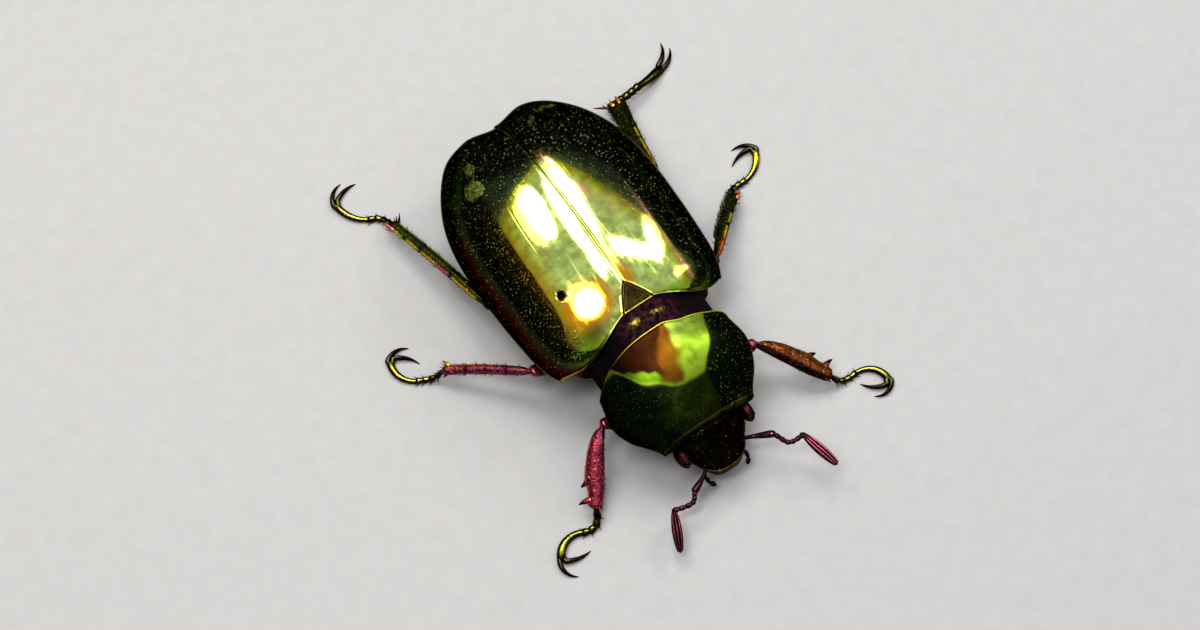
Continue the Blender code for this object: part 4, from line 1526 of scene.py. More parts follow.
@dataclass
class Head:
    """The head with its clypeus, eyes and mouthparts."""

    finish: Material
    eye_finish: Material
    mouth_finish: Material
    half_widths: Two = (2.55, 1.75)
    rear_y: float = -11.6
    front_y: float = -13.85
    corner: float = 1.15
    top_z: Two = (5.45, 2.75)
    side_z: Two = (3.7, 2.5)
    under_z: Two = (1.9, 2.0)
    rim_bead: Two = (0.12, 0.05)
    seam: Place = (0.52, 0.018, 0.05)
    dimples: Patches = (
        Patch("relief", -0.1, (0.9, 0.36), (0.4, 0.12)), Patch("relief", 0.06, (0, 0.3), (0.5, 0.2)),
    )
    eye_at: tuple[Place, Place] = ((2.58, -11.6, 3.72), (-2.47, -11.85, 3.66))
    eye_radii: Place = (0.44, 0.8, 0.62)
    neck_y: Two = (-11.05, -11.75)
    neck_scale: Place = (0.93, 1.0, 0.82)
    neck_z: float = 3.6
    jaw: tuple[Place, Place] = ((0, -12.75, 1.42), (0.72, 0.85, 0.46))
    lobes: tuple[tuple[Place, Place], ...] = (
        ((0.72, -12.95, 1.52), (0.42, 0.62, 0.36)), ((0.36, -13.35, 1.62), (0.34, 0.34, 0.26)),
    )
    palp: tuple[Place, ...] = (
        (1.3, -12.75, 1.5), (1.55, -13.15, 1.35), (1.5, -13.6, 1.2), (1.25, -13.9, 1.1),
    )
    palp_radii: Place = (0.13, 0.15, 0.17)
    palp_shape: Row = (0.55, 0.8, 0.95, 1.0, 0.98, 0.85, 0.55)

    def surface(self, s: Array, a: Array, lower: bool = False) -> Array:
        """Points of the upper or the lower side.

        Args:
            s: shares from the neck to the front edge.
            a: shares from -1 on the right to 1 on the left.
            lower: whether the lower side is meant.

        Returns:
            A grid of points.
        """
        x = a * between(self.half_widths, s)
        front = self.front_y + self.corner * np.abs(a) ** 3
        y = self.rear_y + (front - self.rear_y) * s
        edge = between(self.side_z, s)
        if lower:
            edge = edge - 0.3
            return joined(0.94 * x, y, edge - (edge - between(self.under_z, s)) * vault(a, (2.0, 1.8)))
        return joined(x, y, edge + (between(self.top_z, s**1.15) - edge) * vault(a, (2.2, 1.8)))

    def build_capsule(self) -> None:
        """Makes the head itself."""
        s = spaced(110, (0.6, 1.0), 4.0, 0.04)[:, None]
        a = fan(130)
        top = self.surface(s, a)
        ahead = travel(top, 0)
        edge = np.minimum(to_ends(top, 1) + 3 * rise(0.45, 0.3, s), ahead[-1:] - ahead)
        at, width, sweep = self.seam
        relief = bead(edge, *self.rim_bead) - 0.05 * bell(s - sweep * a**2, at, width)
        relief = relief + sum(dimple.on(np.abs(top[..., 0]), s) for dimple in self.dimples)
        top = top + normals(top) * relief[..., None]
        capsule = Piece("head_capsule")
        # painted highlight along the rim bead
        capsule.slab(top, self.surface(s, a, lower=True), edge=0.22 * rise(0.14, 0.06, edge))
        capsule.build(self.finish, "head", "head")

    def build_neck(self) -> None:
        """Makes the dark collar between the head and the neck shield."""
        a = fan(60)
        reach = np.linspace(*self.neck_y, 8)[:, None] + 0 * a
        middle = np.array([0.0, 0.0, self.neck_z])
        sheets = []
        for lower in (False, True):
            points = middle + (self.surface(0 * reach, a, lower) - middle) * np.array(self.neck_scale)
            sheets.append(joined(points[..., 0], reach, points[..., 2]))
        neck = Piece("neck_collar")
        neck.slab(*sheets)
        neck.build(self.mouth_finish, "head")

    def build_eye(self, side: Side) -> None:
        """Makes one eye, with the narrow brow plate that cuts into it.

        Args:
            side: which eye.
        """
        centre = np.array(self.eye_at[side.place])
        ball = Piece("eye_globe_" + side.word)
        ball.ball(centre, self.eye_radii, 28, 40)
        ball.build(self.eye_finish, "eye", "eye_" + side.word)
        t = np.linspace(0, 1, 14)
        arc = math.pi * (0.3 + 0.42 * t)
        up = np.sin(arc)
        brow = Piece("eye_brow_" + side.word)
        path = centre + joined(side.value * (0.5 * np.cos(arc) - 0.02), -0.62 * up, 0.3 + 0.12 * up)
        brow.tube(path, 0.11 * arch(0.12 + 0.8 * t) + 0.02, ring=12)
        brow.build(self.finish, "head")

    def build_mouth(self) -> None:
        """Makes the jaws under the clypeus and the palps."""
        jaws = Piece("mouth_lobes")
        jaws.ball(*self.jaw)
        for side in Side:
            for centre, radii in self.lobes:
                jaws.ball(mirrored(centre, side), radii)
        jaws.build(self.mouth_finish, "mouth", "mouthparts")
        for side in Side:
            piece = Piece("palp_joints_" + side.word)
            for start, end, radius in zip(self.palp, self.palp[1:], self.palp_radii):
                path = eased([mirrored(start, side), mirrored(end, side)], np.linspace(0.08, 0.92, 7))
                piece.tube(path, radius * np.array(self.palp_shape), ring=12)
            piece.build(self.mouth_finish, "mouth", "palp_" + side.word)

    def build(self) -> None:
        """Makes the head and all that it carries but the feelers."""
        self.build_capsule()
        self.build_neck()
        for side in Side:
            self.build_eye(side)
        self.build_mouth()


@dataclass
class Feelers:
    """The two feelers: a scape, five small beads and a club of three leaves."""

    finish: Material
    stops: tuple[tuple[Place, ...], ...] = (
        (
            (2.35, -13.05, 2.6), (3.25, -13.6, 2.9), (3.8, -14.65, 2.9),
            (4.85, -14.75, 2.9), (5.55, -17.43, 2.5),
        ),
        (
            (-2.0, -13.4, 2.3), (-2.75, -13.75, 2.3), (-3.35, -14.3, 2.1),
            (-4.55, -14.0, 1.9), (-5.65, -16.3, 1.3),
        ),
    )
    roots: tuple[Place, Place] = ((1.5, -12.7, 2.75), (-1.35, -13.0, 2.45))
    scape: Two = (0.13, 0.24)
    bead_radius: float = 0.175
    beads: int = 6
    leaf: Two = (0.13, 0.3)
    leaf_gap: float = 0.2
    last_bead: float = 1.15

    def build_stalk(self, side: Side) -> None:
        """Makes the scape and the beads of one feeler.

        Args:
            side: which feeler.
        """
        stops = self.stops[side.place]
        piece = Piece("feeler_stalk_" + side.word)
        t = np.linspace(0, 1, 16)
        path = eased([self.roots[side.place], stops[0], stops[1]], t)
        # painted shade on the scape's base under the head
        piece.tube(path, between(self.scape, rise(0.3, 0.9, t)), ring=14, dark=0.8 * rise(0.6, 0.4, t))
        start = 1 / 3 + 0.04
        shape = self.bead_radius * (0.6 + 0.4 * arch(np.linspace(0.1, 0.82, 9)))
        for k in range(self.beads):
            ends = start + (1.0 - start) * np.array([k + 0.06, k + 0.94]) / self.beads
            last = self.last_bead if k == self.beads - 1 else 1.0
            piece.tube(eased(stops[:4], np.linspace(*ends, 9)), shape * last, ring=12)
        piece.build(self.finish, "feeler", "antenna_stalk_" + side.word)

    def build_club(self, side: Side) -> None:
        """Makes the three leaves of one feeler's club, standing side by side.

        Args:
            side: which feeler.
        """
        foot, tip = (np.array(stop) for stop in self.stops[side.place][3:])
        aside = unit(np.cross(unit(tip - foot), UP))
        piece = Piece("feeler_club_" + side.word)
        t = np.linspace(0, 1, 26)
        full = arch(0.06 + 0.86 * t)
        swell = 0.3 + 0.7 * full**0.7
        for k in (-1, 0, 1):
            spread = self.leaf_gap * k * (0.3 + 0.7 * full**0.6)
            reach = between((0.04, 0.97 if k else 1.0), t)
            # painted highlight along the top of each leaf
            piece.tube(
                foot + np.outer(reach, tip - foot) + np.outer(spread, aside),
                self.leaf[0] * swell, self.leaf[1] * swell, side=aside, ring=20, flush=1.0,
                edge=lambda facing, share: 0.75 * rise(0.95, 1.0, facing[..., 2]) * rise(0.0, 0.2, share),
            )
        piece.build(self.finish, "feeler", "antenna_club_" + side.word)

    def build(self) -> None:
        """Makes both feelers."""
        for side in Side:
            self.build_stalk(side)
            self.build_club(side)


# ---- legs


@dataclass(frozen=True)
class LegSizes:
    """Sizes that a pair of legs shares."""

    hip: Place
    femur: Two
    scale: float


@dataclass(frozen=True)
class Spur:
    """A movable spine at the end of a shin: its place across it, its sizes, turn outward, and the tone and
    strength of its painted highlight.
    """

    aside: float
    length: float
    radius: float
    turn: float
    flush: float = 1.0
    bright: float = 1.0


@dataclass(frozen=True)
class ShinForm:
    """One shin's half widths at even steps from knee to ankle, and the marks along it."""

    outer: Row
    inner: Row
    deep: float
    bands: Row = ()
    teeth: tuple[Two, ...] = ()
    warm: Row = (0.0, 0.0)
    warm_from: float = -2.0
    warm_side: float = 1.0
    lines: tuple[tuple[float, float, float, float], ...] = ()
    line_width: float = 0.07
    shade: float = -2.0
    spurs: tuple[Spur, ...] = ()
    tufts: int = 0


@dataclass(frozen=True)
class LegPose:
    """Places of a leg's knee and ankle, and level headings of its foot joints and claws."""

    pair: Pair
    side: Side
    knee: Place
    ankle: Place
    joints: tuple[float, float, float, float]
    last: Two
    outer: Two
    inner: Two
    lift: float = 0.0
    gleam: float = 0.85
    stout: float = 1.0

    @property
    def word(self) -> str:
        """The leg's name."""
        return self.pair.value + "_" + self.side.word


SIZES = {
    Pair.FORE: LegSizes((2.75, -7.7, 1.7), (0.6, 0.45), 1.05),
    Pair.MID: LegSizes((3.05, -2.15, 1.5), (0.62, 0.45), 1.0),
    Pair.HIND: LegSizes((3.6, 2.95, 1.5), (0.74, 0.48), 1.05),
}

SHINS = {
    "fore_left": ShinForm(
        (0.26, 0.62, 0.84, 0.9, 0.9, 0.66, 0.5), (0.26, 0.24, 0.28, 0.32, 0.4, 0.46, 0.44), 0.36,
        teeth=((0.7, 0.22), (0.93, 0.52)), warm=(0.2, 1.0, 1.0, 1.0, 0.8), warm_from=0.55,
        lines=((0.03, 0.3, -0.6, 0.95),), line_width=0.16, shade=-0.36,
        spurs=(Spur(-0.7, 0.45, 0.07, -12, 0.6, 0.3),),
    ),
    "fore_right": ShinForm(
        (0.26, 0.7, 0.92, 0.98, 0.96, 0.64, 0.52), (0.24, 0.14, 0.16, 0.24, 0.32, 0.4, 0.4), 0.36,
        teeth=((0.73, 0.22), (0.95, 0.52)), warm=(0.2, 0.8, 1.0, 1.0, 0.8), warm_from=0.7,
        lines=((0.02, 0.22, -0.45, 1.0),), line_width=0.3, spurs=(Spur(-0.7, 0.45, 0.07, -12, 0.8, 0.3),),
    ),
    "mid_left": ShinForm(
        (0.28, 0.36, 0.38, 0.38, 0.36), (0.26, 0.32, 0.36, 0.38, 0.34), 0.32, bands=(0.51, 0.72),
        warm=(1.0, 0.9, 0.0, 0.0, 0.0), warm_from=0.0,
        lines=((0.02, 0.24, 0.55, 0.6), (0.28, 0.47, 0.62, 0.32), (0.54, 0.7, 0.72, 0.22)),
        line_width=0.13, tufts=110,
        spurs=(Spur(0.75, 0.62, 0.12, 8, 0.66), Spur(-0.8, 0.6, 0.05, -16, 0.5, 0.0)),
    ),
    "mid_right": ShinForm(
        (0.26, 0.32, 0.33, 0.34, 0.35), (0.26, 0.32, 0.33, 0.34, 0.35), 0.32, bands=(0.27, 0.51, 0.75),
        warm=(0.9, 0.3, 0.0, 0.6, 0.9, 0.8, 0.7, 1.0), warm_from=-0.35, warm_side=-1.0,
        spurs=(Spur(-0.8, 0.55, 0.11, -34, 0.15), Spur(0.5, 0.5, 0.06, 10, 0.9, 0.4)),
    ),
    "hind_left": ShinForm(
        (0.3, 0.4, 0.5, 0.58, 0.64), (0.3, 0.4, 0.5, 0.6, 0.66), 0.34, bands=(0.46, 0.74),
        lines=((0.08, 0.3, 0.56, 0.5), (0.3, 0.6, 0.54, 0.3)), line_width=0.13, tufts=40,
        spurs=(
            Spur(0.25, 0.75, 0.16, 2, 0.55), Spur(-0.4, 0.5, 0.17, -8, 0.5),
            Spur(-0.95, 1.0, 0.07, -62, 0.8, 0.2),
        ),
    ),
    "hind_right": ShinForm(
        (0.3, 0.36, 0.38, 0.37, 0.36), (0.28, 0.34, 0.36, 0.36, 0.35), 0.34, bands=(0.35, 0.68),
        lines=(
            (0.06, 0.33, 0.78, 0.42), (0.36, 0.51, 0.78, 0.95), (0.51, 0.66, 0.78, 0.34),
            (0.7, 0.83, 0.8, 0.32), (0.87, 0.98, 0.82, 0.28), (0.34, 0.66, -0.8, 0.05),
            (0.7, 0.97, -0.8, 0.02),
        ),
        line_width=0.16,
        spurs=(
            Spur(0.8, 0.85, 0.13, 3, 0.95), Spur(-0.85, 0.8, 0.055, -42, 0.5, 0.0),
            Spur(-0.3, 0.75, 0.05, -36, 0.5, 0.0),
        ),
    ),
}

POSES = (
    LegPose(
        Pair.FORE, Side.LEFT, (5.65, -8.2, 3.55), (8.85, -12.0, 1.3),
        (-48, -22, -2, 2), (4, -92), (-118, -222), (-188, -246),
    ),
    LegPose(
        Pair.FORE, Side.RIGHT, (-5.3, -7.2, 3.55), (-8.25, -10.75, 1.25),
        (-112, -137, 188, 163), (150, 240), (240, 330), (330, 372), gleam=0.5, stout=1.2,
    ),
    LegPose(
        Pair.MID, Side.LEFT, (7.0, -2.1, 3.5), (11.0, 1.5, 1.25),
        (74, 24, 4, 0), (5, 68), (114, 182), (170, 212),
    ),
    LegPose(
        Pair.MID, Side.RIGHT, (-7.0, -1.8, 3.5), (-11.1, 2.1, 1.25),
        (172, 158, 150, 154), (152, 72), (38, -35), (-22, -66),
    ),
    LegPose(
        Pair.HIND, Side.LEFT, (7.2, 4.75, 3.7), (8.4, 11.2, 1.3),
        (-8, 4, 8, 8), (8, 20), (12, 66), (24, 78), lift=1.0, gleam=0.22, stout=1.3,
    ),
    LegPose(
        Pair.HIND, Side.RIGHT, (-6.85, 3.75, 3.35), (-8.4, 12.3, 1.25),
        (96, 104, 130, 158), (150, 96), (76, 8), (34, -6),
    ),
)


@dataclass
class Leg:
    """One leg: thigh, toothed or spiny shin, jointed foot and two claws."""

    pose: LegPose
    thigh_finish: Material
    shin_finish: Material
    foot_finish: Material
    claw_finish: Material
    shin_slot: str
    joint_lengths: Row = (0.5, 0.42, 0.43, 0.43)
    last_length: float = 2.25
    joint_radius: float = 0.225
    last_radii: Two = (0.175, 0.245)
    claw_length: float = 1.75
    claw_radius: float = 0.185
    shin_gap: float = 0.15
    knee_gap: float = 0.12
    bow: float = 0.1
    line_end: float = 0.012
    hair_radius: float = 0.018
    spine_radius: float = 0.045
    crown: Two = (0.985, 0.3)
    # heading that sets where the painted highlight lies on the feet
    gleam_from: float = -125.0
    hook_roots: tuple[Two, Two] = ((0.22, -0.2), (0.36, 0.44))

    def __post_init__(self) -> None:
        """Works out what the parts of the leg share."""
        self.sizes = SIZES[self.pose.pair]
        self.form = SHINS[self.pose.word]
        self.knee = np.array(self.pose.knee)
        self.ankle = np.array(self.pose.ankle)
        self.way = unit(self.ankle - self.knee)
        across = unit(np.array([-self.way[1], self.way[0], 0.0]))
        self.outward = across * math.copysign(1.0, across[0] * self.pose.side.value)
        normal = np.cross(self.way, self.outward)
        self.normal = normal * math.copysign(1.0, normal[2])
        self.rng = np.random.default_rng(list(self.pose.word.encode()))

    def build_thigh(self) -> None:
        """Makes the thigh, with the small ring at its hip and the knobs of the knee."""
        hip = mirrored(self.sizes.hip, self.pose.side)
        way = unit(self.knee - hip)
        t = np.linspace(0, 1, 30)
        path = hip - way * 0.35 + np.outer(t, self.knee - way * self.knee_gap - hip + way * 0.35)
        swell = 0.52 + 0.48 * arch(0.1 + 0.8 * t)
        knob = 0.02 * bell(t, 0.97, 0.05) - 0.03 * rise(0.8, 1.0, t)
        wide, deep = (radius * swell + knob for radius in self.sizes.femur)
        piece = Piece("thigh_" + self.pose.word)
        piece.tube(path, wide, deep, side=(0, 1, 0), ring=28, dark=0.8 * bell(t, 0.93, 0.025))
        piece.tube(path[:4] - way * 0.15, self.sizes.femur[1] * np.array([0.7, 0.95, 0.95, 0.7]), ring=20)
        piece.build(self.thigh_finish, "thigh_and_mid_shin", "femur_" + self.pose.word)

    def shin_point(self, t: Array, aside: Values = 0.0, up: Values = 0.0) -> Array:
        """Places on the shin.

        Args:
            t: shares of the way along it.
            aside: how far outward across it.
            up: how far upward across it.

        Returns:
            The points.
        """
        t = np.atleast_1d(np.asarray(t, float))
        start = self.knee + self.way * self.knee_gap
        aside, up = (np.broadcast_to(v, t.shape) for v in (aside, up))
        sideways = np.outer(aside - self.bow * arch(t), self.outward)
        return start + np.outer(t, self.ankle - start) + sideways + np.outer(up, self.normal)

    def shin_edge(self, t: Values, sign: Values) -> Array:
        """Distance from the shin's axis to its edge.

        Args:
            t: shares of the way along it.
            sign: above 0 for the outer edge, else for the inner one.

        Returns:
            The distances.
        """
        t = np.asarray(t, float)
        wide = np.where(np.asarray(sign) > 0, eased(self.form.outer, t), eased(self.form.inner, t))
        pinch = sum(0.05 * bell(t, place, 0.015) for place in self.form.bands)
        return wide * (0.62 + 0.38 * rise(0.0, 0.1, t)) - pinch

    def shin_line(self, facing: Array, share: Array) -> tuple[Array, Array]:
        """The painted highlight lines along a shin.

        Args:
            facing: outward directions.
            share: shares along the shin.

        Returns:
            The lines' strength and their tone.
        """
        aside = facing @ self.outward
        top = rise(-0.05, 0.1, facing[..., 2])
        soft = self.line_end
        total, tone = np.zeros_like(aside), np.zeros_like(aside)
        for start, end, place, flush in self.form.lines:
            inside = span((start - soft, start + soft), (end + soft, end - soft), share)
            line = inside * bell(aside, place, self.form.line_width) * top
            total, tone = total + line, tone + line * flush
        return np.clip(total, 0, 1), tone / np.maximum(total, 1e-6)

    def shin_warm(self, facing: Array, share: Array) -> Array:
        """How far a shin takes its second tone, by the outward direction and the share along it."""
        outside = self.form.warm_side * (facing @ self.outward) - self.form.warm_from
        return np.clip(eased(self.form.warm, share) * rise(0.0, 0.4, outside), 0, 1)

    def shin_dark(self, facing: Array, share: Array) -> Array:
        """How dark a shin is: darker at the knee and in its bands, with painted shade underneath and along
        its shaded side.

        Args:
            facing: outward directions.
            share: shares along the shin.

        Returns:
            The mark at each place.
        """
        bands = sum(bell(share, place, 0.014) for place in self.form.bands)
        shade = self.form.shade * rise(0.0, 0.35, share)
        # painted shade underneath and on the shaded side; the knee and the bands are darker in colour
        dark = 0.5 * bell(share, 0.0, 0.02) + 0.9 * bands + 0.9 * rise(0.0, -0.35, facing[..., 2])
        dark = dark + 0.95 * rise(shade + 0.12, shade - 0.12, facing @ self.outward)
        return np.clip(dark, 0, 1)

    def build_shin(self) -> None:
        """Makes the shin with its teeth, spines and spurs."""
        t = np.linspace(0, 1, 90)
        outer, inner = self.shin_edge(t, 1.0), self.shin_edge(t, -1.0)
        deep = self.form.deep * (0.78 + 0.22 * arch(np.minimum(t * 1.1, 1)))
        piece = Piece("shin_" + self.pose.word)
        piece.tube(
            self.shin_point(t, (outer - inner) / 2), (outer + inner) / 2, deep,
            side=self.outward, ring=40, caps=3,
            edge=lambda facing, share: self.shin_line(facing, share)[0],
            flush=lambda facing, share: self.shin_line(facing, share)[1],
            warm=self.shin_warm, dark=self.shin_dark,
        )
        if self.pose.pair is Pair.FORE:
            self.add_teeth(piece)
        else:
            self.add_spines(piece)
        for spur in self.form.spurs:
            self.add_spur(piece, spur)
        piece.build(self.shin_finish, self.shin_slot, "tibia_" + self.pose.word)

    def add_teeth(self, piece: Piece) -> None:
        """Adds the outer teeth and fine hairs of a fore shin.

        Args:
            piece: the shin.
        """
        u = np.linspace(0, 1, 9)
        girth = 0.24 * (1 - u) ** 0.75 + 0.035
        for place, size in self.form.teeth:
            base = float(self.shin_edge(place, 1.0)) - 0.18
            path = self.shin_point(place + 0.02 * u + 0.05 * u**2, base + (size + 0.18) * u, 0.02)
            piece.tube(path, girth, 0.75 * girth, side=self.way, ring=14, dark=rise(0.25, 0.8, u) * 0.9)
        self.add_hairs(piece, 46, 0.5, (0.1, 0.24))

    def add_hairs(self, piece: Piece, count: int, outer_share: float, reach: Two) -> None:
        """Adds fine hairs along the edges of a shin.

        Args:
            piece: the shin.
            count: how many.
            outer_share: how many of them stand on the outer edge.
            reach: their shortest and longest.
        """
        shares = self.rng.uniform(0.12, 0.98, count)
        side = np.where(self.rng.random(count) < outer_share, 1.0, -1.0)
        roots = self.shin_point(shares, side * self.shin_edge(shares, side) * 0.95)
        lean = self.outward * side[:, None] + self.way * self.rng.uniform(0.5, 1.3, count)[:, None]
        lean = lean + np.outer(self.rng.normal(0, 0.3, count), UP)
        length = self.rng.uniform(*reach, count)[:, None]
        piece.spines(roots, roots + unit(lean) * length, self.hair_radius, steps=2, dark=0.75)

    def add_spines(self, piece: Piece) -> None:
        """Adds the bands of short spines, the crown at the end and the hairs of a mid or hind shin.

        Args:
            piece: the shin.
        """
        roots, tips = [], []
        for place, size in (*((band, 0.14) for band in self.form.bands), self.crown):
            for turn in np.linspace(-65, 180, 9 if place == self.crown[0] else 6):
                c, s = cos_sin(turn)
                edge = float(self.shin_edge(place, c))
                root = self.shin_point(place, 0.9 * edge * c, 0.9 * self.form.deep * s)[0]
                lean = unit(self.outward * c + self.normal * s + self.way * 1.3)
                roots.append(root)
                tips.append(root + lean * (size + 0.12) * self.rng.uniform(0.85, 1.2))
        piece.spines(np.array(roots), np.array(tips), self.spine_radius, steps=3, dark=0.85)
        self.add_hairs(piece, 50, 0.45, (0.16, 0.36))
        if self.form.tufts:
            self.add_tufts(piece)

    def add_tufts(self, piece: Piece) -> None:
        """Adds the thick brush of long hairs on the inner edge of a shin.

        Args:
            piece: the shin.
        """
        count = self.form.tufts
        shares = self.rng.uniform(0.25, 0.98, count)
        roots = self.shin_point(shares, -self.shin_edge(shares, -1.0) * self.rng.uniform(0.7, 0.98, count))
        lean = -0.45 * self.outward + self.way + np.outer(self.rng.normal(0.1, 0.25, count), self.normal)
        tips = roots + unit(lean) * self.rng.uniform(0.4, 0.8, count)[:, None]
        tone = self.rng.uniform(0.1, 0.9, count)
        piece.spines(roots, tips, 0.03, -0.04 * self.outward, steps=3, dark=tone)

    def add_spur(self, piece: Piece, spur: Spur) -> None:
        """Adds one spur to the end of a shin.

        Args:
            piece: the shin.
            spur: the spur's place and sizes.
        """
        u = np.linspace(0, 1, 11)
        start = self.shin_point(0.97, spur.aside * float(self.shin_edge(1.0, spur.aside)), 0.1)[0]
        c, s = cos_sin(spur.turn)
        path = start + np.outer(u * spur.length, unit(c * self.way + s * self.outward))
        girth = spur.radius * (1 - u**2.2) + 0.02
        # painted highlight on the spur; a spur without it is dark
        piece.tube(path, girth, ring=12, edge=spur.bright, flush=spur.flush, dark=(1 - spur.bright) * 0.9)

    def foot_line(self) -> tuple[list[Array], Array]:
        """Centre lines of the four short joints, and of the long last one.

        Returns:
            The ends of each short joint, and the points of the last.
        """
        scale, low = self.sizes.scale, self.joint_radius + self.pose.lift
        here = self.ankle + self.way * self.shin_gap
        fall = here[2] - low
        ends = []
        for turn, length, share in zip(self.pose.joints, self.joint_lengths, (0.6, 0.9, 1.0, 1.0)):
            there = here + heading(turn) * length * scale
            there[2] = low + fall * (1 - share)
            ends.append(np.array([here, there]))
            here = there
        steps = 24
        sink = self.pose.lift / steps
        level = math.sqrt((self.last_length * scale / steps) ** 2 - sink**2)
        turns = np.linspace(*self.pose.last, steps + 1)
        return ends, chained(here, np.array([heading(turn) * level - (0, 0, sink) for turn in turns]))

    def build_foot(self) -> None:
        """Makes the foot, each joint with its spines."""
        joints, last = self.foot_line()
        piece = Piece("foot_" + self.pose.word)
        roots, tips = [], []
        u = np.linspace(0.04, 0.96, 10)
        girth = self.joint_radius * self.pose.stout * (0.6 + 0.4 * rise(0.0, 0.8, u))
        for start, end in joints:
            piece.tube(
                start + np.outer(u, end - start), girth * 0.95, girth * 0.9, ring=18, caps=3,
                edge=lambda facing, share: self.foot_gleam(facing, share) * rise(0.15, 0.4, share),
                flush=self.foot_tone,
            )
            way = unit(end - start)
            for sign in (-1.0, 1.0):
                aside = unit(np.cross(way, UP)) * sign
                root = end - way * 0.06 + aside * 0.14 - (0, 0, 0.08)
                roots += [root, root - aside * 0.08]
                tips += [root + unit(way + 0.9 * aside) * 0.42, root + unit(way + 0.3 * aside) * 0.3]
        u = np.linspace(0, 1, len(last))
        girth = self.pose.stout * between(self.last_radii, rise(0.05, 0.9, u))
        last[:, 2] += girth - self.joint_radius
        piece.tube(last, girth, girth * 0.95, ring=30, edge=self.foot_gleam, flush=self.foot_tone)
        piece.spines(np.array(roots), np.array(tips), 0.036, steps=3, dark=0.9)
        piece.build(self.foot_finish, "foot", "tarsus_" + self.pose.word)

    def foot_gleam(self, facing: Array, share: Array) -> Array:
        """Strength of the painted highlight line on top of the foot."""
        line = bell(facing @ heading(self.gleam_from), -0.02, 0.19)
        return self.pose.gleam * line * rise(0.0, 0.3, facing[..., 2]) * rise(1.0, 0.7, share)

    def foot_tone(self, facing: Array, share: Array) -> Array:
        """Tone of that painted highlight, which turns red on the foot's front side."""
        front = facing @ heading(self.gleam_from)
        return np.clip(0.18 + 2.2 * front + 0.1 * rise(0.6, 1.0, share), 0, 1)

    def build_claw(self, hook: Hook) -> None:
        """Makes one claw, a pointed hook that lies on the floor.

        Args:
            hook: which claw.
        """
        end = self.foot_line()[1][-1]
        pose = self.pose
        outer = hook is Hook.OUTER
        ahead = heading(pose.last[1])
        inward = heading(pose.last[1] + math.copysign(90, pose.outer[1] - pose.outer[0]))
        along, aside = self.hook_roots[0 if outer else 1]
        rooted = end + ahead * along * 0.7 + inward * aside * 0.62
        lead = end - ahead * 0.1 + inward * aside * 0.22
        steps = 20
        turns = np.linspace(*(pose.outer if outer else pose.inner), steps)
        moves = np.array([heading(turn) for turn in turns]) * self.claw_length / steps
        root = eased([lead, (lead + rooted) / 2, rooted], (0.0, 0.4, 0.75))
        path = np.concatenate([root, chained(rooted, moves)])
        u = np.linspace(0, 1, len(path))
        girth = self.claw_radius * (1 - 0.86 * u**1.7)
        path[:, 2] = girth * 1.25 + 0.07 * arch(u)
        piece = Piece(f"claw_hook_{hook.value}_{pose.word}")
        # painted highlight near the claw's root
        piece.tube(path, girth, girth * 1.25, ring=16, edge=0.25 * rise(0.5, 0.1, u))
        piece.build(self.claw_finish, "claw", f"claw_{hook.value}_{pose.word}")

    def build(self) -> None:
        """Makes the whole leg."""
        self.build_thigh()
        self.build_shin()
        self.build_foot()
        for hook in Hook:
            self.build_claw(hook)


# ---- setting


@dataclass(frozen=True)
class Softbox:
    """A level soft light overhead, placed by how far it lies aside for each unit of height."""

    name: str
    aside: Two
    size: Two
    radiance: float
    height: float = 0.3
    tint: Colour = (1.0, 1.0, 1.0)
    turn: float = 0.0
    outline: Outline = Outline.OVAL

    def build(self) -> None:
        """Makes the light."""
        light = bpy.data.lights.new(self.name, "AREA")
        light.shape = self.outline.value
        light.size, light.size_y = (n * self.height for n in self.size)
        light.energy = self.radiance * math.pi * light.size * light.size_y
        light.color = self.tint
        made = placed(self.name, light)
        made.location = (self.aside[0] * self.height, self.aside[1] * self.height, self.height)
        made.rotation_euler = (0, 0, math.radians(self.turn))
        made.visible_camera = False


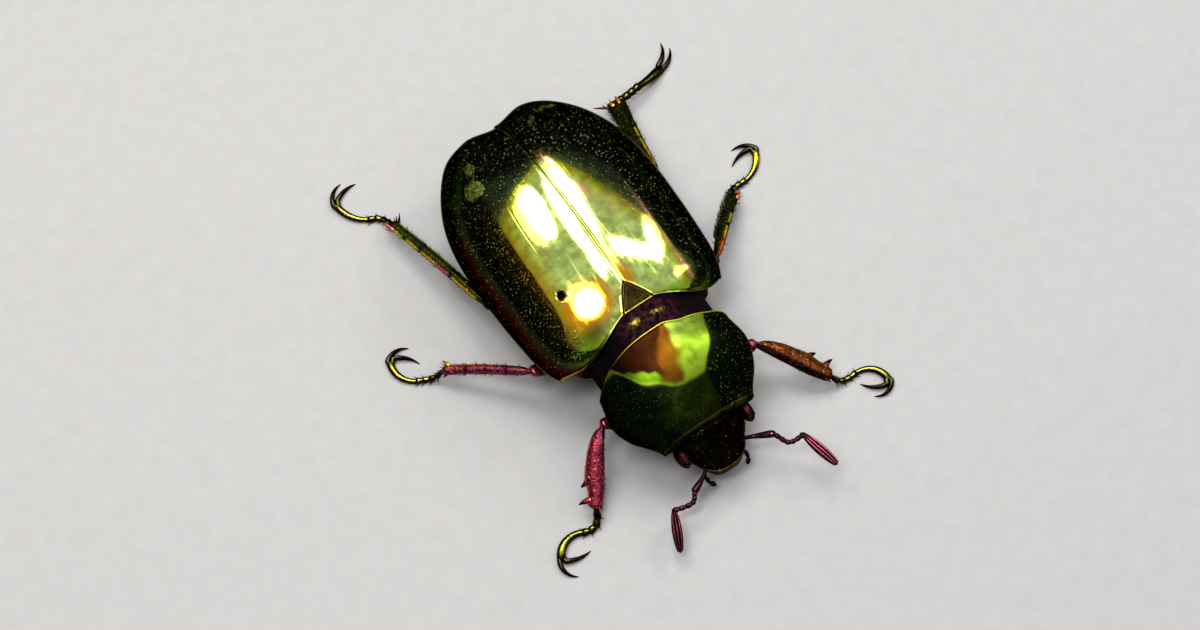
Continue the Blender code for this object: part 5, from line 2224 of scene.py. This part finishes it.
@dataclass(frozen=True)
class Studio:
    """The plain pale floor, the soft lights and the camera."""

    floor_tone: Colour = (0.36, 0.352, 0.345)
    floor_radius: float = 1.6
    backdrop: Colour = (0.6, 0.59, 0.58)
    ambient: float = 0.035
    camera_at: Place = (-42.345, -60.885, 202.779)
    back: Place = (-0.19348, -0.28204, 0.93969)
    right: Place = (0.8246, -0.5657, 0.0)
    lens: float = 100.0
    sensor: float = 36.0
    lights: tuple[Softbox, ...] = (
        Softbox("main_softbox", (0.43, -0.05), (2.7, 2.1), 0.75, 0.34, turn=-4.0, outline=Outline.OBLONG),
        Softbox("strip_softbox", (0.235, 0.45), (0.21, 0.62), 10.0, 0.3, turn=-16.0),
        Softbox("far_softbox", (0.38, 0.8), (0.07, 0.34), 10.0, 0.29, turn=-4.0),
        Softbox("near_softbox", (0.15, 0.12), (0.1, 0.22), 10.0, 0.29, turn=-16.0),
        Softbox("right_softbox", (-0.09, 0.55), (0.34, 0.42), 9.0, 0.28, turn=-12.0),
        Softbox("rosy_softbox", (-0.24, 0.52), (0.38, 0.36), 2.5, 0.31, (1.0, 0.84, 0.78), 10.0),
        Softbox("cross_softbox", (0.56, 0.08), (0.6, 0.12), 9.0, 0.28, turn=-12.0, outline=Outline.OBLONG),
        Softbox("left_softbox", (1.15, 0.19), (0.85, 0.2), 9.0, 0.27, turn=23.0),
        Softbox("low_softbox", (1.14, -0.15), (0.36, 0.12), 7.0, 0.27, turn=8.0),
        Softbox("round_lamp", (-0.27, -0.02), (0.52, 0.195), 16.0, 0.29, turn=-4.2),
    )

    def build_floor(self) -> None:
        """Makes the floor, a wide disc just under the feet."""
        count = 96
        turn = 2 * math.pi * np.arange(count) / count
        points = np.stack([np.cos(turn), np.sin(turn), 0 * turn], -1) * self.floor_radius
        mesh = bpy.data.meshes.new("floor")
        mesh.from_pydata(points.tolist(), [], [list(range(count))])
        g = Graph("floor_pale", 0.75, 0.0)
        light = tuple(c * 1.05 for c in self.floor_tone)
        tone = g.mix(g.step(g.noise(0.9, 6.0), 0.3, 0.7), self.floor_tone, light)
        mesh.materials.append(g.dress(tone))
        placed("floor", mesh)

    def build_world(self) -> None:
        """Makes a dim surrounding that looks pale where it is seen straight on."""
        world = bpy.data.worlds.new("studio_surround")
        bpy.context.scene.world = world
        world.use_nodes = True
        tree = world.node_tree
        plain = tree.nodes["Background"]
        plain.inputs["Color"].default_value = (0.9, 0.95, 1.0, 1.0)
        plain.inputs["Strength"].default_value = self.ambient
        seen = tree.nodes.new("ShaderNodeBackground")
        seen.inputs["Color"].default_value = (*self.backdrop, 1.0)
        path = tree.nodes.new("ShaderNodeLightPath")
        mix = tree.nodes.new("ShaderNodeMixShader")
        tree.links.new(path.outputs["Is Camera Ray"], mix.inputs[0])
        tree.links.new(plain.outputs[0], mix.inputs[1])
        tree.links.new(seen.outputs[0], mix.inputs[2])
        tree.links.new(mix.outputs[0], tree.nodes["World Output"].inputs["Surface"])

    def build_camera(self) -> None:
        """Makes the camera, high over the beetle's right front."""
        data = bpy.data.cameras.new("camera")
        data.lens, data.sensor_width = self.lens, self.sensor
        data.clip_start, data.clip_end = 0.01, 10.0
        camera = placed("camera", data)
        back, right = Vector(self.back).normalized(), Vector(self.right).normalized()
        turn = Matrix((right, back.cross(right), back)).transposed().to_4x4()
        camera.matrix_world = Matrix.Translation(Vector(self.camera_at) * MM) @ turn
        bpy.context.scene.camera = camera

    def build(self) -> None:
        """Makes the whole setting."""
        self.build_floor()
        self.build_world()
        self.build_camera()
        for light in self.lights:
            light.build()
        bpy.context.scene.view_settings.view_transform = "Standard"


def note_sizes() -> None:
    """Updates the view layer."""
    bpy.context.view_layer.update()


@dataclass(frozen=True)
class Legs:
    """The six legs, each shin in its own tone."""

    palette: Palette

    def build(self) -> None:
        """Makes the legs."""
        p = self.palette
        foot, claw, thigh, dark = (f.material() for f in (p.foot, p.claw, p.thigh, p.dark_thigh))
        copper, rose, olive, plum = (f.material() for f in (p.copper, p.rose, p.olive, p.plum))
        mid = "thigh_and_mid_shin"
        finishes = {
            "fore_left": (thigh, copper, "fore_shin"), "fore_right": (thigh, rose, "fore_shin"),
            "mid_left": (dark, olive, mid), "mid_right": (thigh, plum, mid),
            "hind_left": (dark, olive, "hind_shin"), "hind_right": (dark, olive, "hind_shin"),
        }
        for pose in POSES:
            upper, shin, slot = finishes[pose.word]
            Leg(pose, upper, shin, foot, claw, slot).build()


@dataclass(frozen=True)
class Underside:
    """The solids of the underside and the dark skin that joins breast and belly."""

    breast: Material
    belly: Material
    skin: Material
    belly_nodes: tuple[str, ...] = ("abdomen", "pygidium")
    breast_nodes: tuple[str, ...] = ("metathorax", "prosternum", "coxa_")
    skin_y: Two = (3.3, 3.6)
    skin_z: float = 4.6
    skin_radii: Two = (5.6, 2.8)

    def dress(self) -> None:
        """Gives the solids their finishes."""
        for names, finish in ((self.belly_nodes, self.belly), (self.breast_nodes, self.breast)):
            for name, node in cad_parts.items():
                if name.startswith(names):
                    node.data.materials.clear()
                    node.data.materials.append(finish)

    def build(self) -> None:
        """Dresses the solids and makes the skin between them."""
        self.dress()
        skin = Piece("belly_skin")
        path = [(0.0, y, self.skin_z) for y in self.skin_y]
        skin.tube(path, self.skin_radii[0], [self.skin_radii[1]] * 2, side=(1.0, 0.0, 0.0), ring=48)
        skin.build(self.skin, "belly")


def main() -> None:
    """Builds every piece of the beetle and its setting."""
    logging.basicConfig(level=logging.INFO, format="%(message)s")
    palette = Palette()
    WingCases(palette.case.material()).build()
    shield = NeckShield(palette.shield.material())
    shield.build()
    Scutellum(palette.scutellum.material()).build()
    Waist(palette.waist.material(), palette.fuzz.material(), shield).build()
    Head(palette.head.material(), palette.eye.material(), palette.claw.material()).build()
    Feelers(palette.feeler.material()).build()
    Legs(palette).build()
    Underside(palette.breast.material(), palette.belly.material(), palette.fuzz.material()).build()
    Studio().build()
    note_sizes()


if __name__ == "__main__":
    main()
